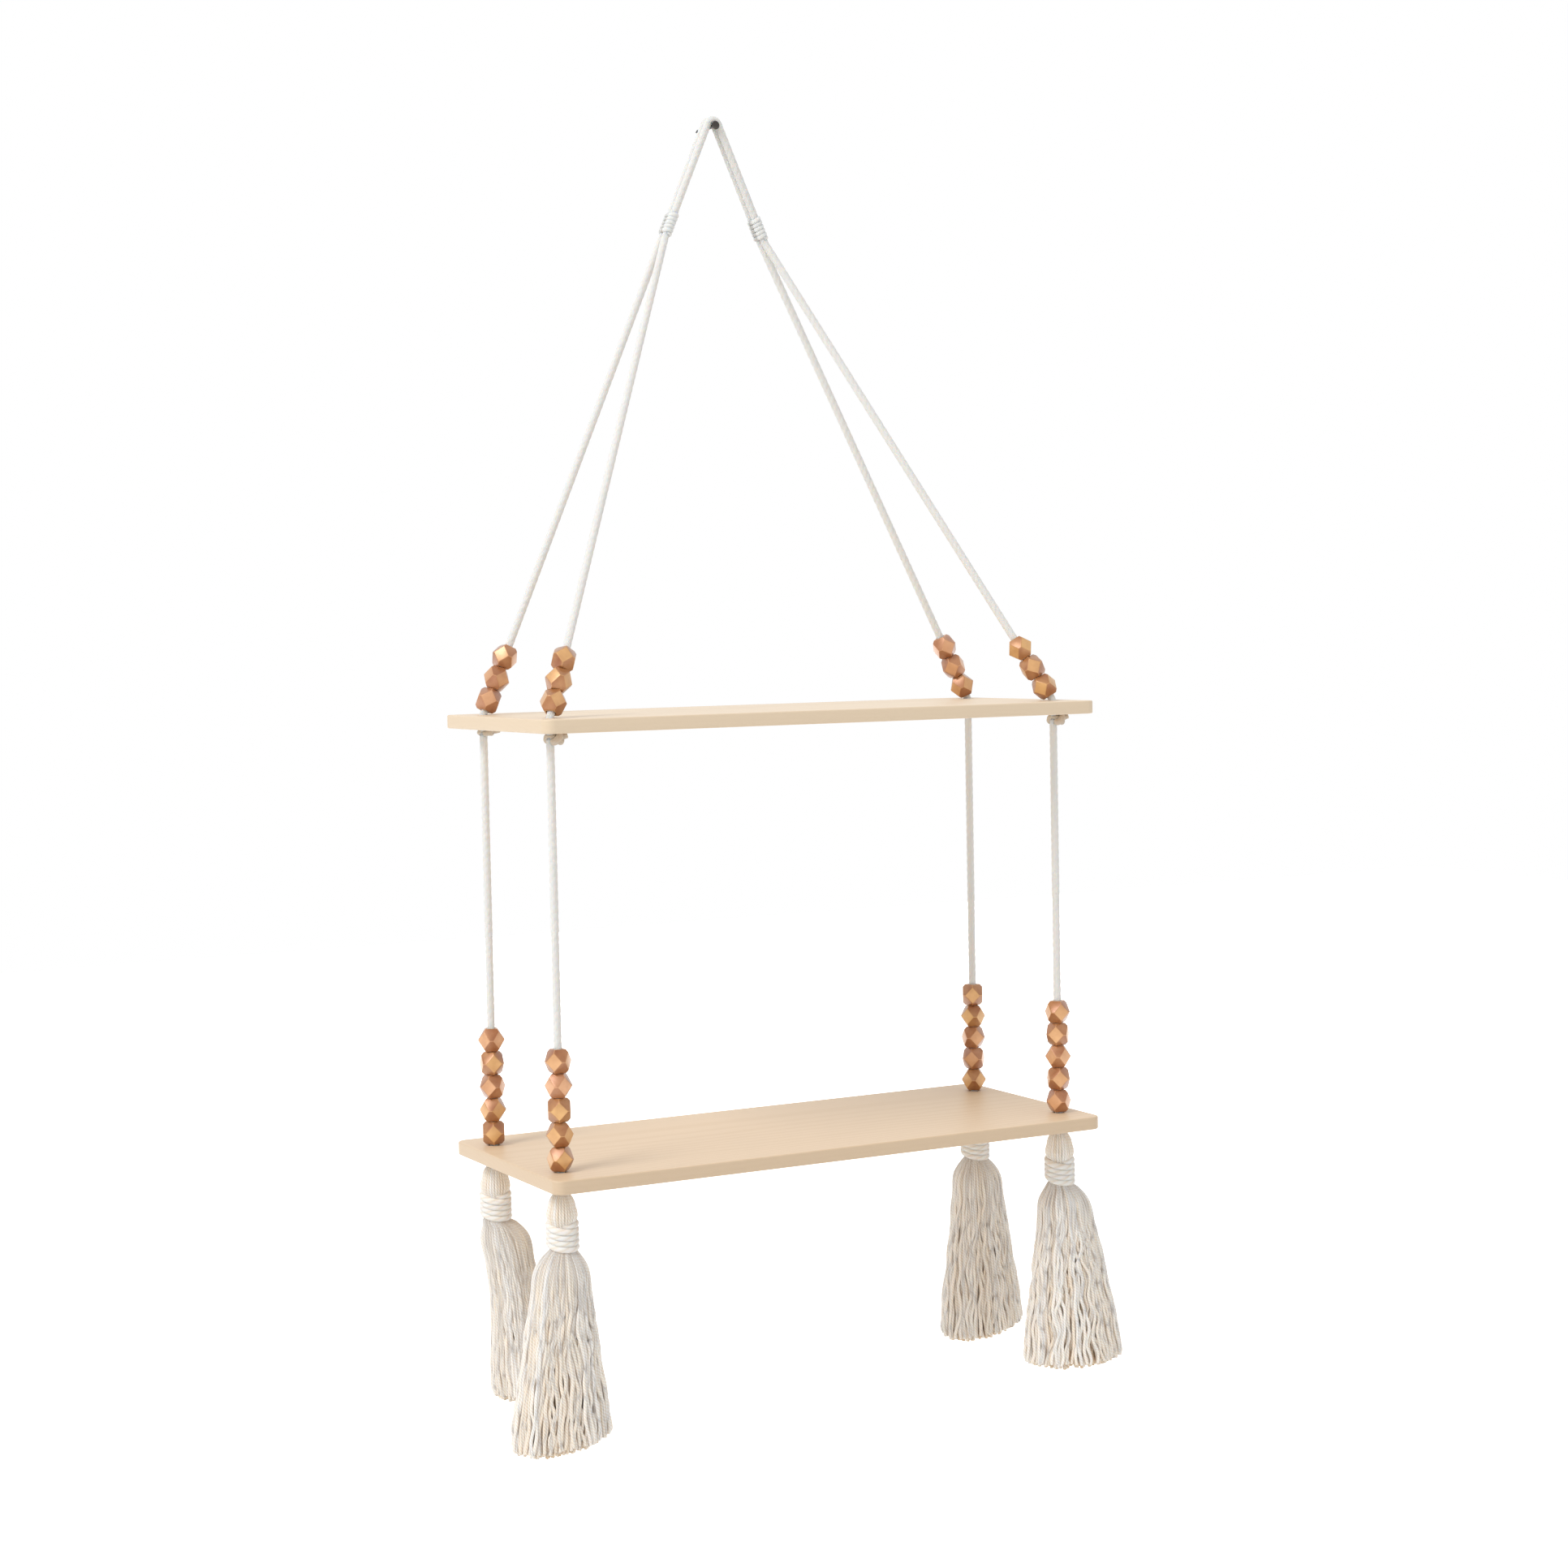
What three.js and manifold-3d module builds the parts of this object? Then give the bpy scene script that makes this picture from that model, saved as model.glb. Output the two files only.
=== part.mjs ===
// Two-tier hanging rope shelf: wooden boards, cotton ropes, faceted beads and tassels on one nail.
// Millimetres. X runs along the boards, +Y points back to the wall, +Z is up.
// The origin is where the nail enters the wall, so the wall is the plane y = 0.

import * as THREE from 'three';
import { ConvexGeometry } from 'three/addons/geometries/ConvexGeometry.js';
import { mergeVertices } from 'three/addons/utils/BufferGeometryUtils.js';
import Module from 'manifold-3d';

// Driving dimensions of the whole shelf
const boardLength = 460;
const boardDepth = 190;
const boardThickness = 10;
const hangHeight = 450; // nail axis down to the top of the upper board
const tierSpacing = 322; // top of the upper board down to the top of the lower board
const holeInsetX = 18; // hole centre in from the end of a board
const holeInsetY = 33; // hole centre in from the long edge of a board
const ropeDiameter = 6;
const tasselDrop = 195; // underside of the lower board down to the longest yarn
const upperBeadCount = 3;
const lowerBeadCount = 5;

// Clearances
const seatGap = 0.3; // between pieces that rest on each other
const pivotGap = 0.4; // above or below a rope end that turns
const holeClearance = 1.25; // rope to the side of a board hole
const boreClearance = 0.45; // rope to the side of a bead's bore
const overrun = 2; // how far a cutter passes a face

// Board details
const cornerRadius = 8;
const edgeEase = 1.2;
const edgeSteps = 2;
const cornerSteps = 5;
const holeSides = 16;

// Bead details
const beadHeight = 17.2;
const beadWidth = 16; // across two opposite square facets
const beadCornerWidth = 20; // across two opposite belt edges
const beadStackGap = 0.3;
const beadRestGap = 0.7; // lower stack above its board, so the board can sway
const boreSides = 12;
const beadTurnDegrees = 34; // each bead of a stack is turned on from the one below

// Rope details
const ropeSides = 10;
const ropeSpacing = 0.3; // between the two ropes that run side by side
const holeBendRadius = 12;
const junctionBendRadius = 14;
const junctionDrop = 88; // nail axis down to where front and rear ropes part
const junctionHalfSpan = 43.5;
const bendSteps = 4;
const nailBendSteps = 10;

// Nail details
const nailDiameter = 3;
const nailHeadDiameter = 6.5;
const nailHeadThickness = 1.6;
const nailHeadGap = 1; // ropes to the nail head
const nailDepthInWall = 18;
const nailPointLength = 5;
const nailSides = 16;

// Whipping that ties the front and rear ropes together
const whipCordDiameter = 2.6;
const whipPitch = 3.15;
const whipTurns = 5;
const whipStart = 4; // above the point where the ropes part
const wallClearance = 0.6; // whipping to the wall
const loopSteps = 24;
const loopSides = 6;
const leastAllowedGap = 0.4;

// Stop knot under the upper board
const stopKnotDiameter = 18;
const stopKnotHeight = 9;
const stopKnotOffset = 3.5; // the bulk of each knot lies to the right of its rope
const stopKnotRoundShare = 0.92; // 1 closes the bottom to a point, less leaves it flatter
const knotSides = 18;
const knotLobes = 3;
const knotGrooveShare = 0.12;
const knotTwistTurnShare = 0.22;
const knotLevelShares = [1, 0.55, 0.1, -0.4, -0.8, -1]; // of the height above and below the middle

// End knot under the lower board
const endKnotDiameter = 12;
const endKnotTopHeight = 3.6; // centre of the knot up to its pressed top
const endKnotRoundShare = 0.97;

// Tassel
const socketClearance = 0.4;
const rimElevationDegrees = 15;
const rimWall = 1.1;
const headDiameter = 22;
const headHeight = 19; // knot centre down to the top of the binding
const neckDiameter = 18.8;
const skirtWidth = 76; // along the board
const skirtDepth = 61; // across the board
const skirtUneven = 5; // how much the cut ends differ in length
const unevenMeanShare = 0.5;
const unevenWaveShares = [0.3, 0.2];
const unevenWavesPerTurn = [2, 5];
const skirtFlareShare = 0.45;
const fluteShare = 0.05;
const tasselSides = 24;
const headRadiusShares = [0.74, 0.86, 0.95, 1];
const headDropShares = [0.06, 0.3, 0.55, 0.8];
const skirtDropShares = [0.03, 0.1, 0.25, 0.5, 0.8, 1];
const socketElevationsDegrees = [0, -35, -65];

// Tassel binding
const bindCordDiameter = 3.4;
const bindPitch = 4.05;
const bindTurns = 4;
const bindSlant = 2.2; // rise and fall of each loop, because the loops lie aslant

// Places worked out from the sizes above
const holeX = boardLength / 2 - holeInsetX;
const ropeRadius = ropeDiameter / 2;
const ropeStep = ropeDiameter + ropeSpacing;
const bundleY = -(ropeStep / 2 + ropeRadius + seatGap + whipCordDiameter + wallClearance);
const frontHoleY = -boardDepth + holeInsetY;
const rearHoleY = -holeInsetY;
const upperTop = -hangHeight;
const upperBottom = upperTop - boardThickness;
const lowerTop = upperTop - tierSpacing;
const lowerBottom = lowerTop - boardThickness;
const stopKnotBottom = upperBottom - seatGap - stopKnotHeight;
const lowerRopeTop = stopKnotBottom - pivotGap;
const endKnotZ = lowerBottom - seatGap - endKnotTopHeight;
const beadPitch = beadHeight + beadStackGap;
const bindHeight = bindPitch * bindTurns + 2 * bindSlant + bindCordDiameter;
const corners = [
  { name: 'front_left', x: -holeX, y: frontHoleY, row: 'front' },
  { name: 'front_right', x: holeX, y: frontHoleY, row: 'front' },
  { name: 'rear_left', x: -holeX, y: rearHoleY, row: 'rear' },
  { name: 'rear_right', x: holeX, y: rearHoleY, row: 'rear' },
];

const wasm = await Module();
wasm.setup();

// Materials

function finish(color, roughness, metalness) {
  return new THREE.MeshStandardMaterial({ color, roughness, metalness });
}

const woodFinish = finish(0xe6cfb2, 0.6, 0);
const beadFinish = finish(0xcf9560, 0.35, 0.6);
const ropeFinish = finish(0xe8e4de, 0.95, 0);
const yarnFinish = finish(0xeae3d8, 0.95, 0);
const nailFinish = finish(0x3c3a37, 0.45, 0.9);

// Solids

function toManifold(geometry) {
  const bare = geometry.clone();
  bare.deleteAttribute('normal');
  bare.deleteAttribute('uv');
  const merged = mergeVertices(bare);
  const vertProperties = new Float32Array(merged.attributes.position.array);
  const triVerts = new Uint32Array(merged.index.array);
  return new wasm.Manifold(new wasm.Mesh({ numProp: 3, vertProperties, triVerts }));
}

function fromManifold(solid) {
  const mesh = solid.getMesh();
  const geometry = new THREE.BufferGeometry();
  geometry.setAttribute('position', new THREE.BufferAttribute(mesh.vertProperties, 3));
  geometry.setIndex(new THREE.BufferAttribute(mesh.triVerts, 1));
  return geometry;
}

function cutAway(geometry, cutters) {
  let solid = toManifold(geometry);
  for (const cutter of cutters) {
    solid = solid.subtract(toManifold(cutter));
  }
  return fromManifold(solid);
}

// An upright round cutter centred on x, y.
function uprightCutter(diameter, height, sides, x, y) {
  const cutter = new THREE.CylinderGeometry(diameter / 2, diameter / 2, height, sides);
  cutter.rotateX(Math.PI / 2);
  cutter.translate(x, y, 0);
  return cutter;
}

// A closed solid through rings of points that all have as many points, closed by two middle points.
function loft(firstPoint, rings, lastPoint) {
  const count = rings[0].length;
  const points = [firstPoint, ...rings.flat(), lastPoint];
  const index = [];
  for (let i = 0; i < count; i += 1) {
    const next = (i + 1) % count;
    index.push(0, 1 + next, 1 + i);
    for (let ring = 0; ring < rings.length - 1; ring += 1) {
      const here = 1 + ring * count;
      const there = here + count;
      index.push(here + i, here + next, there + next);
      index.push(here + i, there + next, there + i);
    }
    const lastRing = 1 + (rings.length - 1) * count;
    index.push(points.length - 1, lastRing + i, lastRing + next);
  }
  const geometry = new THREE.BufferGeometry();
  geometry.setFromPoints(points);
  geometry.setIndex(index);
  return geometry;
}

// A path that an extrusion follows from station to station, however they are spaced.
class StationPath extends THREE.Curve {
  constructor(stations) {
    super();
    this.stations = stations;
  }

  getPoint(share, target = new THREE.Vector3()) {
    const place = share * (this.stations.length - 1);
    const index = Math.min(Math.floor(place), this.stations.length - 2);
    return target.lerpVectors(this.stations[index], this.stations[index + 1], place - index);
  }

  getPointAt(share, target) {
    return this.getPoint(share, target);
  }

  getTangentAt(share, target = new THREE.Vector3()) {
    const last = this.stations.length - 1;
    const index = Math.round(share * last);
    const before = this.stations[Math.max(index - 1, 0)];
    const here = this.stations[index];
    const after = this.stations[Math.min(index + 1, last)];
    const into = here.clone().sub(before).normalize();
    const out = after.clone().sub(here).normalize();
    return target.copy(into).add(out).normalize();
  }
}

// A round cord through the stations, with flat ends.
function cordGeometry(stations, diameter, sides) {
  const section = new THREE.Shape();
  for (let i = 0; i < sides; i += 1) {
    const angle = (i / sides) * 2 * Math.PI;
    const x = (diameter / 2) * Math.cos(angle);
    const y = (diameter / 2) * Math.sin(angle);
    if (i === 0) section.moveTo(x, y);
    else section.lineTo(x, y);
  }
  section.closePath();
  return new THREE.ExtrudeGeometry(section, {
    steps: stations.length - 1,
    bevelEnabled: false,
    extrudePath: new StationPath(stations),
  });
}

// Stations of a route that runs straight from corner to corner and turns each inner one on an arc.
function roundedRoute(routeCorners, radii, steps) {
  const stations = [routeCorners[0]];
  for (let i = 1; i < routeCorners.length - 1; i += 1) {
    const corner = routeCorners[i];
    const into = corner.clone().sub(routeCorners[i - 1]).normalize();
    const out = routeCorners[i + 1].clone().sub(corner).normalize();
    const turn = into.angleTo(out);
    const radius = radii[i - 1];
    const axis = into.clone().cross(out).normalize();
    const start = corner.clone().addScaledVector(into, -radius * Math.tan(turn / 2));
    const inward = axis.clone().cross(into);
    const centre = start.clone().addScaledVector(inward, radius);
    for (let step = 0; step <= steps[i - 1]; step += 1) {
      const arm = start.clone().sub(centre).applyAxisAngle(axis, (turn * step) / steps[i - 1]);
      stations.push(centre.clone().add(arm));
    }
  }
  stations.push(routeCorners[routeCorners.length - 1]);
  return stations;
}

// Adds a straight stretch, one cord diameter long, to both ends of a winding.
function withStraightEnds(stations, diameter) {
  const last = stations.length - 1;
  const head = stations[0].clone().sub(stations[1]).setLength(diameter).add(stations[0]);
  const tail = stations[last].clone().sub(stations[last - 1]).setLength(diameter).add(stations[last]);
  return [head, ...stations, tail];
}

// Prints the least gap between loops of one winding, measured between its stations.
function reportSelfGap(name, stations, diameter) {
  let least = Infinity;
  for (let i = 0; i < stations.length; i += 1) {
    for (let j = i + loopSteps / 2; j < stations.length; j += 1) {
      least = Math.min(least, stations[i].distanceTo(stations[j]) - diameter);
    }
  }
  const verdict = least > leastAllowedGap ? 'clear' : 'too close';
  console.log(`${name}: least gap between loops ${least.toFixed(2)} mm, ${verdict}`);
}

// Pieces

// A board with rounded plan corners, eased edges and four drilled rope holes; its top is at z = 0.
function boardGeometry() {
  const halfLength = boardLength / 2 - edgeEase;
  const halfDepth = boardDepth / 2 - edgeEase;
  const radius = cornerRadius - edgeEase;
  const outline = new THREE.Shape();
  outline.moveTo(-halfLength + radius, -halfDepth);
  outline.absarc(halfLength - radius, -halfDepth + radius, radius, -Math.PI / 2, 0);
  outline.absarc(halfLength - radius, halfDepth - radius, radius, 0, Math.PI / 2);
  outline.absarc(-halfLength + radius, halfDepth - radius, radius, Math.PI / 2, Math.PI);
  outline.absarc(-halfLength + radius, -halfDepth + radius, radius, Math.PI, 1.5 * Math.PI);
  const slab = new THREE.ExtrudeGeometry(outline, {
    depth: boardThickness - 2 * edgeEase,
    bevelThickness: edgeEase,
    bevelSize: edgeEase,
    bevelSegments: edgeSteps,
    curveSegments: cornerSteps,
  });
  slab.translate(0, -boardDepth / 2, edgeEase - boardThickness);
  const diameter = ropeDiameter + 2 * holeClearance;
  const height = 2 * (boardThickness + overrun);
  const drills = corners.map(({ x, y }) => uprightCutter(diameter, height, holeSides, x, y));
  return cutAway(slab, drills);
}

// A faceted bead: a cube with its eight corners cut deep, bored from one square facet to the opposite one.
function beadGeometry() {
  const half = beadWidth / 2;
  const spread = beadCornerWidth / Math.SQRT2 - half;
  const upright = beadHeight / beadWidth;
  const points = [];
  for (const a of [-1, 1]) {
    for (const b of [-1, 1]) {
      points.push(new THREE.Vector3(a * half, b * spread, 0));
      points.push(new THREE.Vector3(a * spread, b * half, 0));
      points.push(new THREE.Vector3(a * half, 0, b * spread * upright));
      points.push(new THREE.Vector3(0, a * half, b * spread * upright));
      points.push(new THREE.Vector3(a * spread, 0, b * half * upright));
      points.push(new THREE.Vector3(0, a * spread, b * half * upright));
    }
  }
  const boreDiameter = ropeDiameter + 2 * boreClearance;
  const bore = uprightCutter(boreDiameter, beadHeight + 2 * overrun, boreSides, 0, 0);
  return cutAway(new ConvexGeometry(points), [bore]);
}

// A knot drawn tight: a ball with three twisted lobes, pressed flat on top; its middle is at z = 0.
function knotGeometry(diameter, topHeight, bottomHeight, bottomRoundShare) {
  const radius = diameter / 2;
  const rings = knotLevelShares.map((share) => {
    const z = share > 0 ? share * topHeight : share * bottomHeight;
    const reach = share > 0 ? share * (topHeight / radius) : share * bottomRoundShare;
    const ringRadius = radius * Math.sqrt(1 - reach * reach);
    return lobedRing(ringRadius, z, share * knotTwistTurnShare);
  });
  const bottom = new THREE.Vector3(0, 0, -bottomHeight);
  return loft(bottom, rings.reverse(), new THREE.Vector3(0, 0, topHeight));
}

function lobedRing(radius, z, twistTurns) {
  const ring = [];
  for (let i = 0; i < knotSides; i += 1) {
    const angle = (i / knotSides) * 2 * Math.PI;
    const wave = (1 - Math.cos(knotLobes * (angle + twistTurns * 2 * Math.PI))) / 2;
    const reach = radius * (1 - knotGrooveShare * wave);
    ring.push(new THREE.Vector3(reach * Math.cos(angle), reach * Math.sin(angle), z));
  }
  return ring;
}

// The angle from upright at which the ropes reach the nail, and the point where their lines would meet.
function nailApproach() {
  const wrapRadius = nailDiameter / 2 + seatGap + ropeRadius;
  const distance = Math.hypot(junctionHalfSpan, junctionDrop);
  const lean = Math.atan2(junctionHalfSpan, junctionDrop) - Math.asin(wrapRadius / distance);
  return { wrapRadius, lean, peak: wrapRadius / Math.sin(lean) };
}

function junctionPoint(side, y) {
  return new THREE.Vector3(side * junctionHalfSpan, y, -junctionDrop);
}

function ropeLaneY(row) {
  return bundleY + (row === 'rear' ? 1 : -1) * (ropeStep / 2);
}

// One rope from the left hole of its row over the nail to the right hole.
function upperRopeGeometry(row) {
  const holeY = row === 'rear' ? rearHoleY : frontHoleY;
  const lane = ropeLaneY(row);
  const { wrapRadius, peak } = nailApproach();
  const route = [
    new THREE.Vector3(-holeX, holeY, upperBottom),
    new THREE.Vector3(-holeX, holeY, upperTop),
    junctionPoint(-1, lane),
    new THREE.Vector3(0, lane, peak),
    junctionPoint(1, lane),
    new THREE.Vector3(holeX, holeY, upperTop),
    new THREE.Vector3(holeX, holeY, upperBottom),
  ];
  const radii = [holeBendRadius, junctionBendRadius, wrapRadius, junctionBendRadius, holeBendRadius];
  const steps = [bendSteps, bendSteps, nailBendSteps, bendSteps, bendSteps];
  return cordGeometry(roundedRoute(route, radii, steps), ropeDiameter, ropeSides);
}

// An upright rope between the two boards; its upper end is at z = 0.
function lowerRopeGeometry() {
  const foot = new THREE.Vector3(0, 0, lowerBottom - lowerRopeTop);
  return cordGeometry([new THREE.Vector3(), foot], ropeDiameter, ropeSides);
}

// A cord wound round two ropes that run side by side along Y; the first loop starts at z = 0.
function whippingGeometry() {
  const radius = ropeRadius + seatGap + whipCordDiameter / 2;
  const stations = [];
  for (let i = 0; i <= whipTurns * loopSteps; i += 1) {
    const angle = ((i + 0.5) / loopSteps) * 2 * Math.PI;
    const side = Math.sign(Math.sin(angle));
    const y = radius * Math.sin(angle) + side * (ropeStep / 2);
    stations.push(new THREE.Vector3(radius * Math.cos(angle), y, (whipPitch * i) / loopSteps));
  }
  reportSelfGap('whipping', stations, whipCordDiameter);
  return cordGeometry(withStraightEnds(stations, whipCordDiameter), whipCordDiameter, loopSides);
}

// Yarn wound aslant round a tassel's neck; the middle of its first loop is at z = 0 and it winds down.
function bindingGeometry() {
  const radius = neckDiameter / 2 + seatGap + bindCordDiameter / 2;
  const stations = [];
  for (let i = 0; i <= bindTurns * loopSteps; i += 1) {
    const turns = i / loopSteps;
    const angle = turns * 2 * Math.PI;
    const z = -bindPitch * turns + bindSlant * Math.sin(angle);
    stations.push(new THREE.Vector3(radius * Math.cos(angle), radius * Math.sin(angle), z));
  }
  reportSelfGap('tassel binding', stations, bindCordDiameter);
  return cordGeometry(withStraightEnds(stations, bindCordDiameter), bindCordDiameter, loopSides);
}

// A ring of the tassel; its points stand out and in by turns, and are lifted by the uneven cut.
function tasselRing(radiusX, radiusY, z, flute, uneven) {
  const ring = [];
  for (let i = 0; i < tasselSides; i += 1) {
    const angle = (i / tasselSides) * 2 * Math.PI;
    const reach = 1 + flute * (i % 2 === 0 ? 1 : -1);
    let liftShare = unevenMeanShare;
    unevenWaveShares.forEach((share, wave) => {
      liftShare += share * Math.sin(unevenWavesPerTurn[wave] * angle);
    });
    const lift = uneven * liftShare;
    const x = radiusX * reach * Math.cos(angle);
    const y = radiusY * reach * Math.sin(angle);
    ring.push(new THREE.Vector3(x, y, z + lift));
  }
  return ring;
}

// A yarn tassel: a head that closes round the end knot, a bound neck and a fluted skirt.
// The middle of the knot is at z = 0.
function tasselGeometry() {
  const neck = neckDiameter / 2;
  const skirtTop = -headHeight - bindHeight;
  const skirtBottom = -(tasselDrop + endKnotZ - lowerBottom);
  const socketRadius = endKnotDiameter / 2 + socketClearance;
  const rim = THREE.MathUtils.degToRad(rimElevationDegrees);
  const rimZ = socketRadius * Math.sin(rim);
  const rimRadius = socketRadius * Math.cos(rim);
  const rings = [];
  const skirt = skirtDropShares.map((drop) => {
    const flare = drop ** skirtFlareShare;
    return tasselRing(
      THREE.MathUtils.lerp(neck, skirtWidth / 2 / (1 + fluteShare), flare),
      THREE.MathUtils.lerp(neck, skirtDepth / 2 / (1 + fluteShare), flare),
      THREE.MathUtils.lerp(skirtTop, skirtBottom, drop),
      fluteShare * flare,
      skirtUneven * drop,
    );
  });
  rings.push(...skirt.reverse());
  rings.push(tasselRing(neck, neck, skirtTop, 0, 0));
  rings.push(tasselRing(neck, neck, -headHeight, 0, 0));
  for (let i = headRadiusShares.length - 1; i >= 0; i -= 1) {
    const radius = (headDiameter / 2) * headRadiusShares[i];
    rings.push(tasselRing(radius, radius, -headHeight * headDropShares[i], 0, 0));
  }
  rings.push(tasselRing(rimRadius + rimWall, rimRadius + rimWall, rimZ, 0, 0));
  rings.push(tasselRing(rimRadius, rimRadius, rimZ, 0, 0));
  for (const degrees of socketElevationsDegrees) {
    const elevation = THREE.MathUtils.degToRad(degrees);
    const radius = socketRadius * Math.cos(elevation);
    rings.push(tasselRing(radius, radius, socketRadius * Math.sin(elevation), 0, 0));
  }
  const middle = new THREE.Vector3(0, 0, skirtBottom + skirtUneven);
  return loft(middle, rings, new THREE.Vector3(0, 0, -socketRadius));
}

// The wall nail along Y: a point inside the wall, a shank and a flat head in front of the ropes.
function nailGeometry() {
  const headBack = -(ropeStep / 2 + ropeRadius - bundleY + nailHeadGap);
  const radius = nailDiameter / 2;
  const headRadius = nailHeadDiameter / 2;
  const profile = [
    new THREE.Vector2(0, headBack - nailHeadThickness),
    new THREE.Vector2(headRadius, headBack - nailHeadThickness / 2),
    new THREE.Vector2(headRadius, headBack),
    new THREE.Vector2(radius, headBack),
    new THREE.Vector2(radius, nailDepthInWall - nailPointLength),
    new THREE.Vector2(0, nailDepthInWall),
  ];
  return new THREE.LatheGeometry(profile, nailSides);
}

// Assembly

const shelf = new THREE.Group();

function place(name, geometry, material, position) {
  const mesh = new THREE.Mesh(geometry, material);
  mesh.name = name;
  mesh.position.copy(position);
  shelf.add(mesh);
  return mesh;
}

function placeBoards() {
  const board = boardGeometry();
  place('upper_board', board, woodFinish, new THREE.Vector3(0, 0, upperTop));
  place('lower_board', board, woodFinish, new THREE.Vector3(0, 0, lowerTop));
}

function placeHanger() {
  place('wall_nail', nailGeometry(), nailFinish, new THREE.Vector3());
  place('front_upper_rope', upperRopeGeometry('front'), ropeFinish, new THREE.Vector3());
  place('rear_upper_rope', upperRopeGeometry('rear'), ropeFinish, new THREE.Vector3());
  const whipping = whippingGeometry();
  const { lean } = nailApproach();
  for (const [name, side] of [['left', -1], ['right', 1]]) {
    const upward = new THREE.Vector3(-side * Math.sin(lean), 0, Math.cos(lean));
    const start = junctionPoint(side, bundleY).addScaledVector(upward, whipStart);
    const mesh = place(`${name}_rope_whipping`, whipping, ropeFinish, start);
    mesh.rotation.y = -side * lean;
  }
}

function placeKnotsAndRopes() {
  const stopTop = stopKnotHeight / 2;
  const endBottom = endKnotDiameter / 2;
  const stopKnot = knotGeometry(stopKnotDiameter, stopTop, stopTop, stopKnotRoundShare);
  const endKnot = knotGeometry(endKnotDiameter, endKnotTopHeight, endBottom, endKnotRoundShare);
  const rope = lowerRopeGeometry();
  for (const { name, x, y } of corners) {
    const stopMiddle = upperBottom - seatGap - stopTop;
    const knotX = x + stopKnotOffset;
    place(`${name}_stop_knot`, stopKnot, ropeFinish, new THREE.Vector3(knotX, y, stopMiddle));
    place(`${name}_lower_rope`, rope, ropeFinish, new THREE.Vector3(x, y, lowerRopeTop));
    place(`${name}_end_knot`, endKnot, ropeFinish, new THREE.Vector3(x, y, endKnotZ));
  }
}

// Threads beads on a straight rope from a first middle, in the direction of the rope.
function placeStack(stackName, bead, count, firstMiddle, direction, firstTurn) {
  const upright = new THREE.Vector3(0, 0, 1);
  const lean = new THREE.Quaternion().setFromUnitVectors(upright, direction);
  for (let i = 0; i < count; i += 1) {
    const middle = firstMiddle.clone().addScaledVector(direction, i * beadPitch);
    const mesh = place(`${stackName}_bead_${i + 1}`, bead, beadFinish, middle);
    const turn = THREE.MathUtils.degToRad(firstTurn + i * beadTurnDegrees);
    mesh.quaternion.copy(lean).multiply(new THREE.Quaternion().setFromAxisAngle(upright, turn));
  }
}

function placeBeads() {
  const bead = beadGeometry();
  const endReach = beadCornerWidth / Math.SQRT2 - beadWidth / 2;
  corners.forEach(({ name, x, y, row }, cornerIndex) => {
    const firstTurn = cornerIndex * beadTurnDegrees;
    const hole = new THREE.Vector3(x, y, upperTop);
    const direction = junctionPoint(Math.sign(x), ropeLaneY(row)).sub(hole).normalize();
    const tilt = direction.angleTo(new THREE.Vector3(0, 0, 1));
    const lift = (endReach * Math.sin(tilt) + seatGap) / Math.cos(tilt) + beadHeight / 2;
    const upperFirst = hole.clone().addScaledVector(direction, lift);
    placeStack(`${name}_upper`, bead, upperBeadCount, upperFirst, direction, firstTurn);
    const lowerFirst = new THREE.Vector3(x, y, lowerTop + beadRestGap + beadHeight / 2);
    const up = new THREE.Vector3(0, 0, 1);
    placeStack(`${name}_lower`, bead, lowerBeadCount, lowerFirst, up, firstTurn);
  });
}

function placeTassels() {
  const tassel = tasselGeometry();
  const binding = bindingGeometry();
  const bindTop = endKnotZ - headHeight - bindSlant - bindCordDiameter / 2;
  for (const { name, x, y } of corners) {
    place(`${name}_tassel`, tassel, yarnFinish, new THREE.Vector3(x, y, endKnotZ));
    place(`${name}_tassel_binding`, binding, yarnFinish, new THREE.Vector3(x, y, bindTop));
  }
}

placeHanger();
placeBoards();
placeKnotsAndRopes();
placeBeads();
placeTassels();

export default shelf;
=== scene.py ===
"""Looks of a two-tier hanging shelf: pale boards, cotton ropes, copper painted beads and yarn tassels.

All places are in metres in the row frame: X along the boards, +Y back to the wall, +Z up, and the origin
where the nail enters the wall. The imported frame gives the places, and the classes below model what shows.
"""

import itertools
import logging
import math
import random
from dataclasses import dataclass, field
from enum import Enum

import bmesh
import bpy
import numpy as np
from bpy.types import Curve, Material, Mesh, Node, NodeSocket, NodeTree, Object
from mathutils import Matrix, Quaternion, Vector

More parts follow.
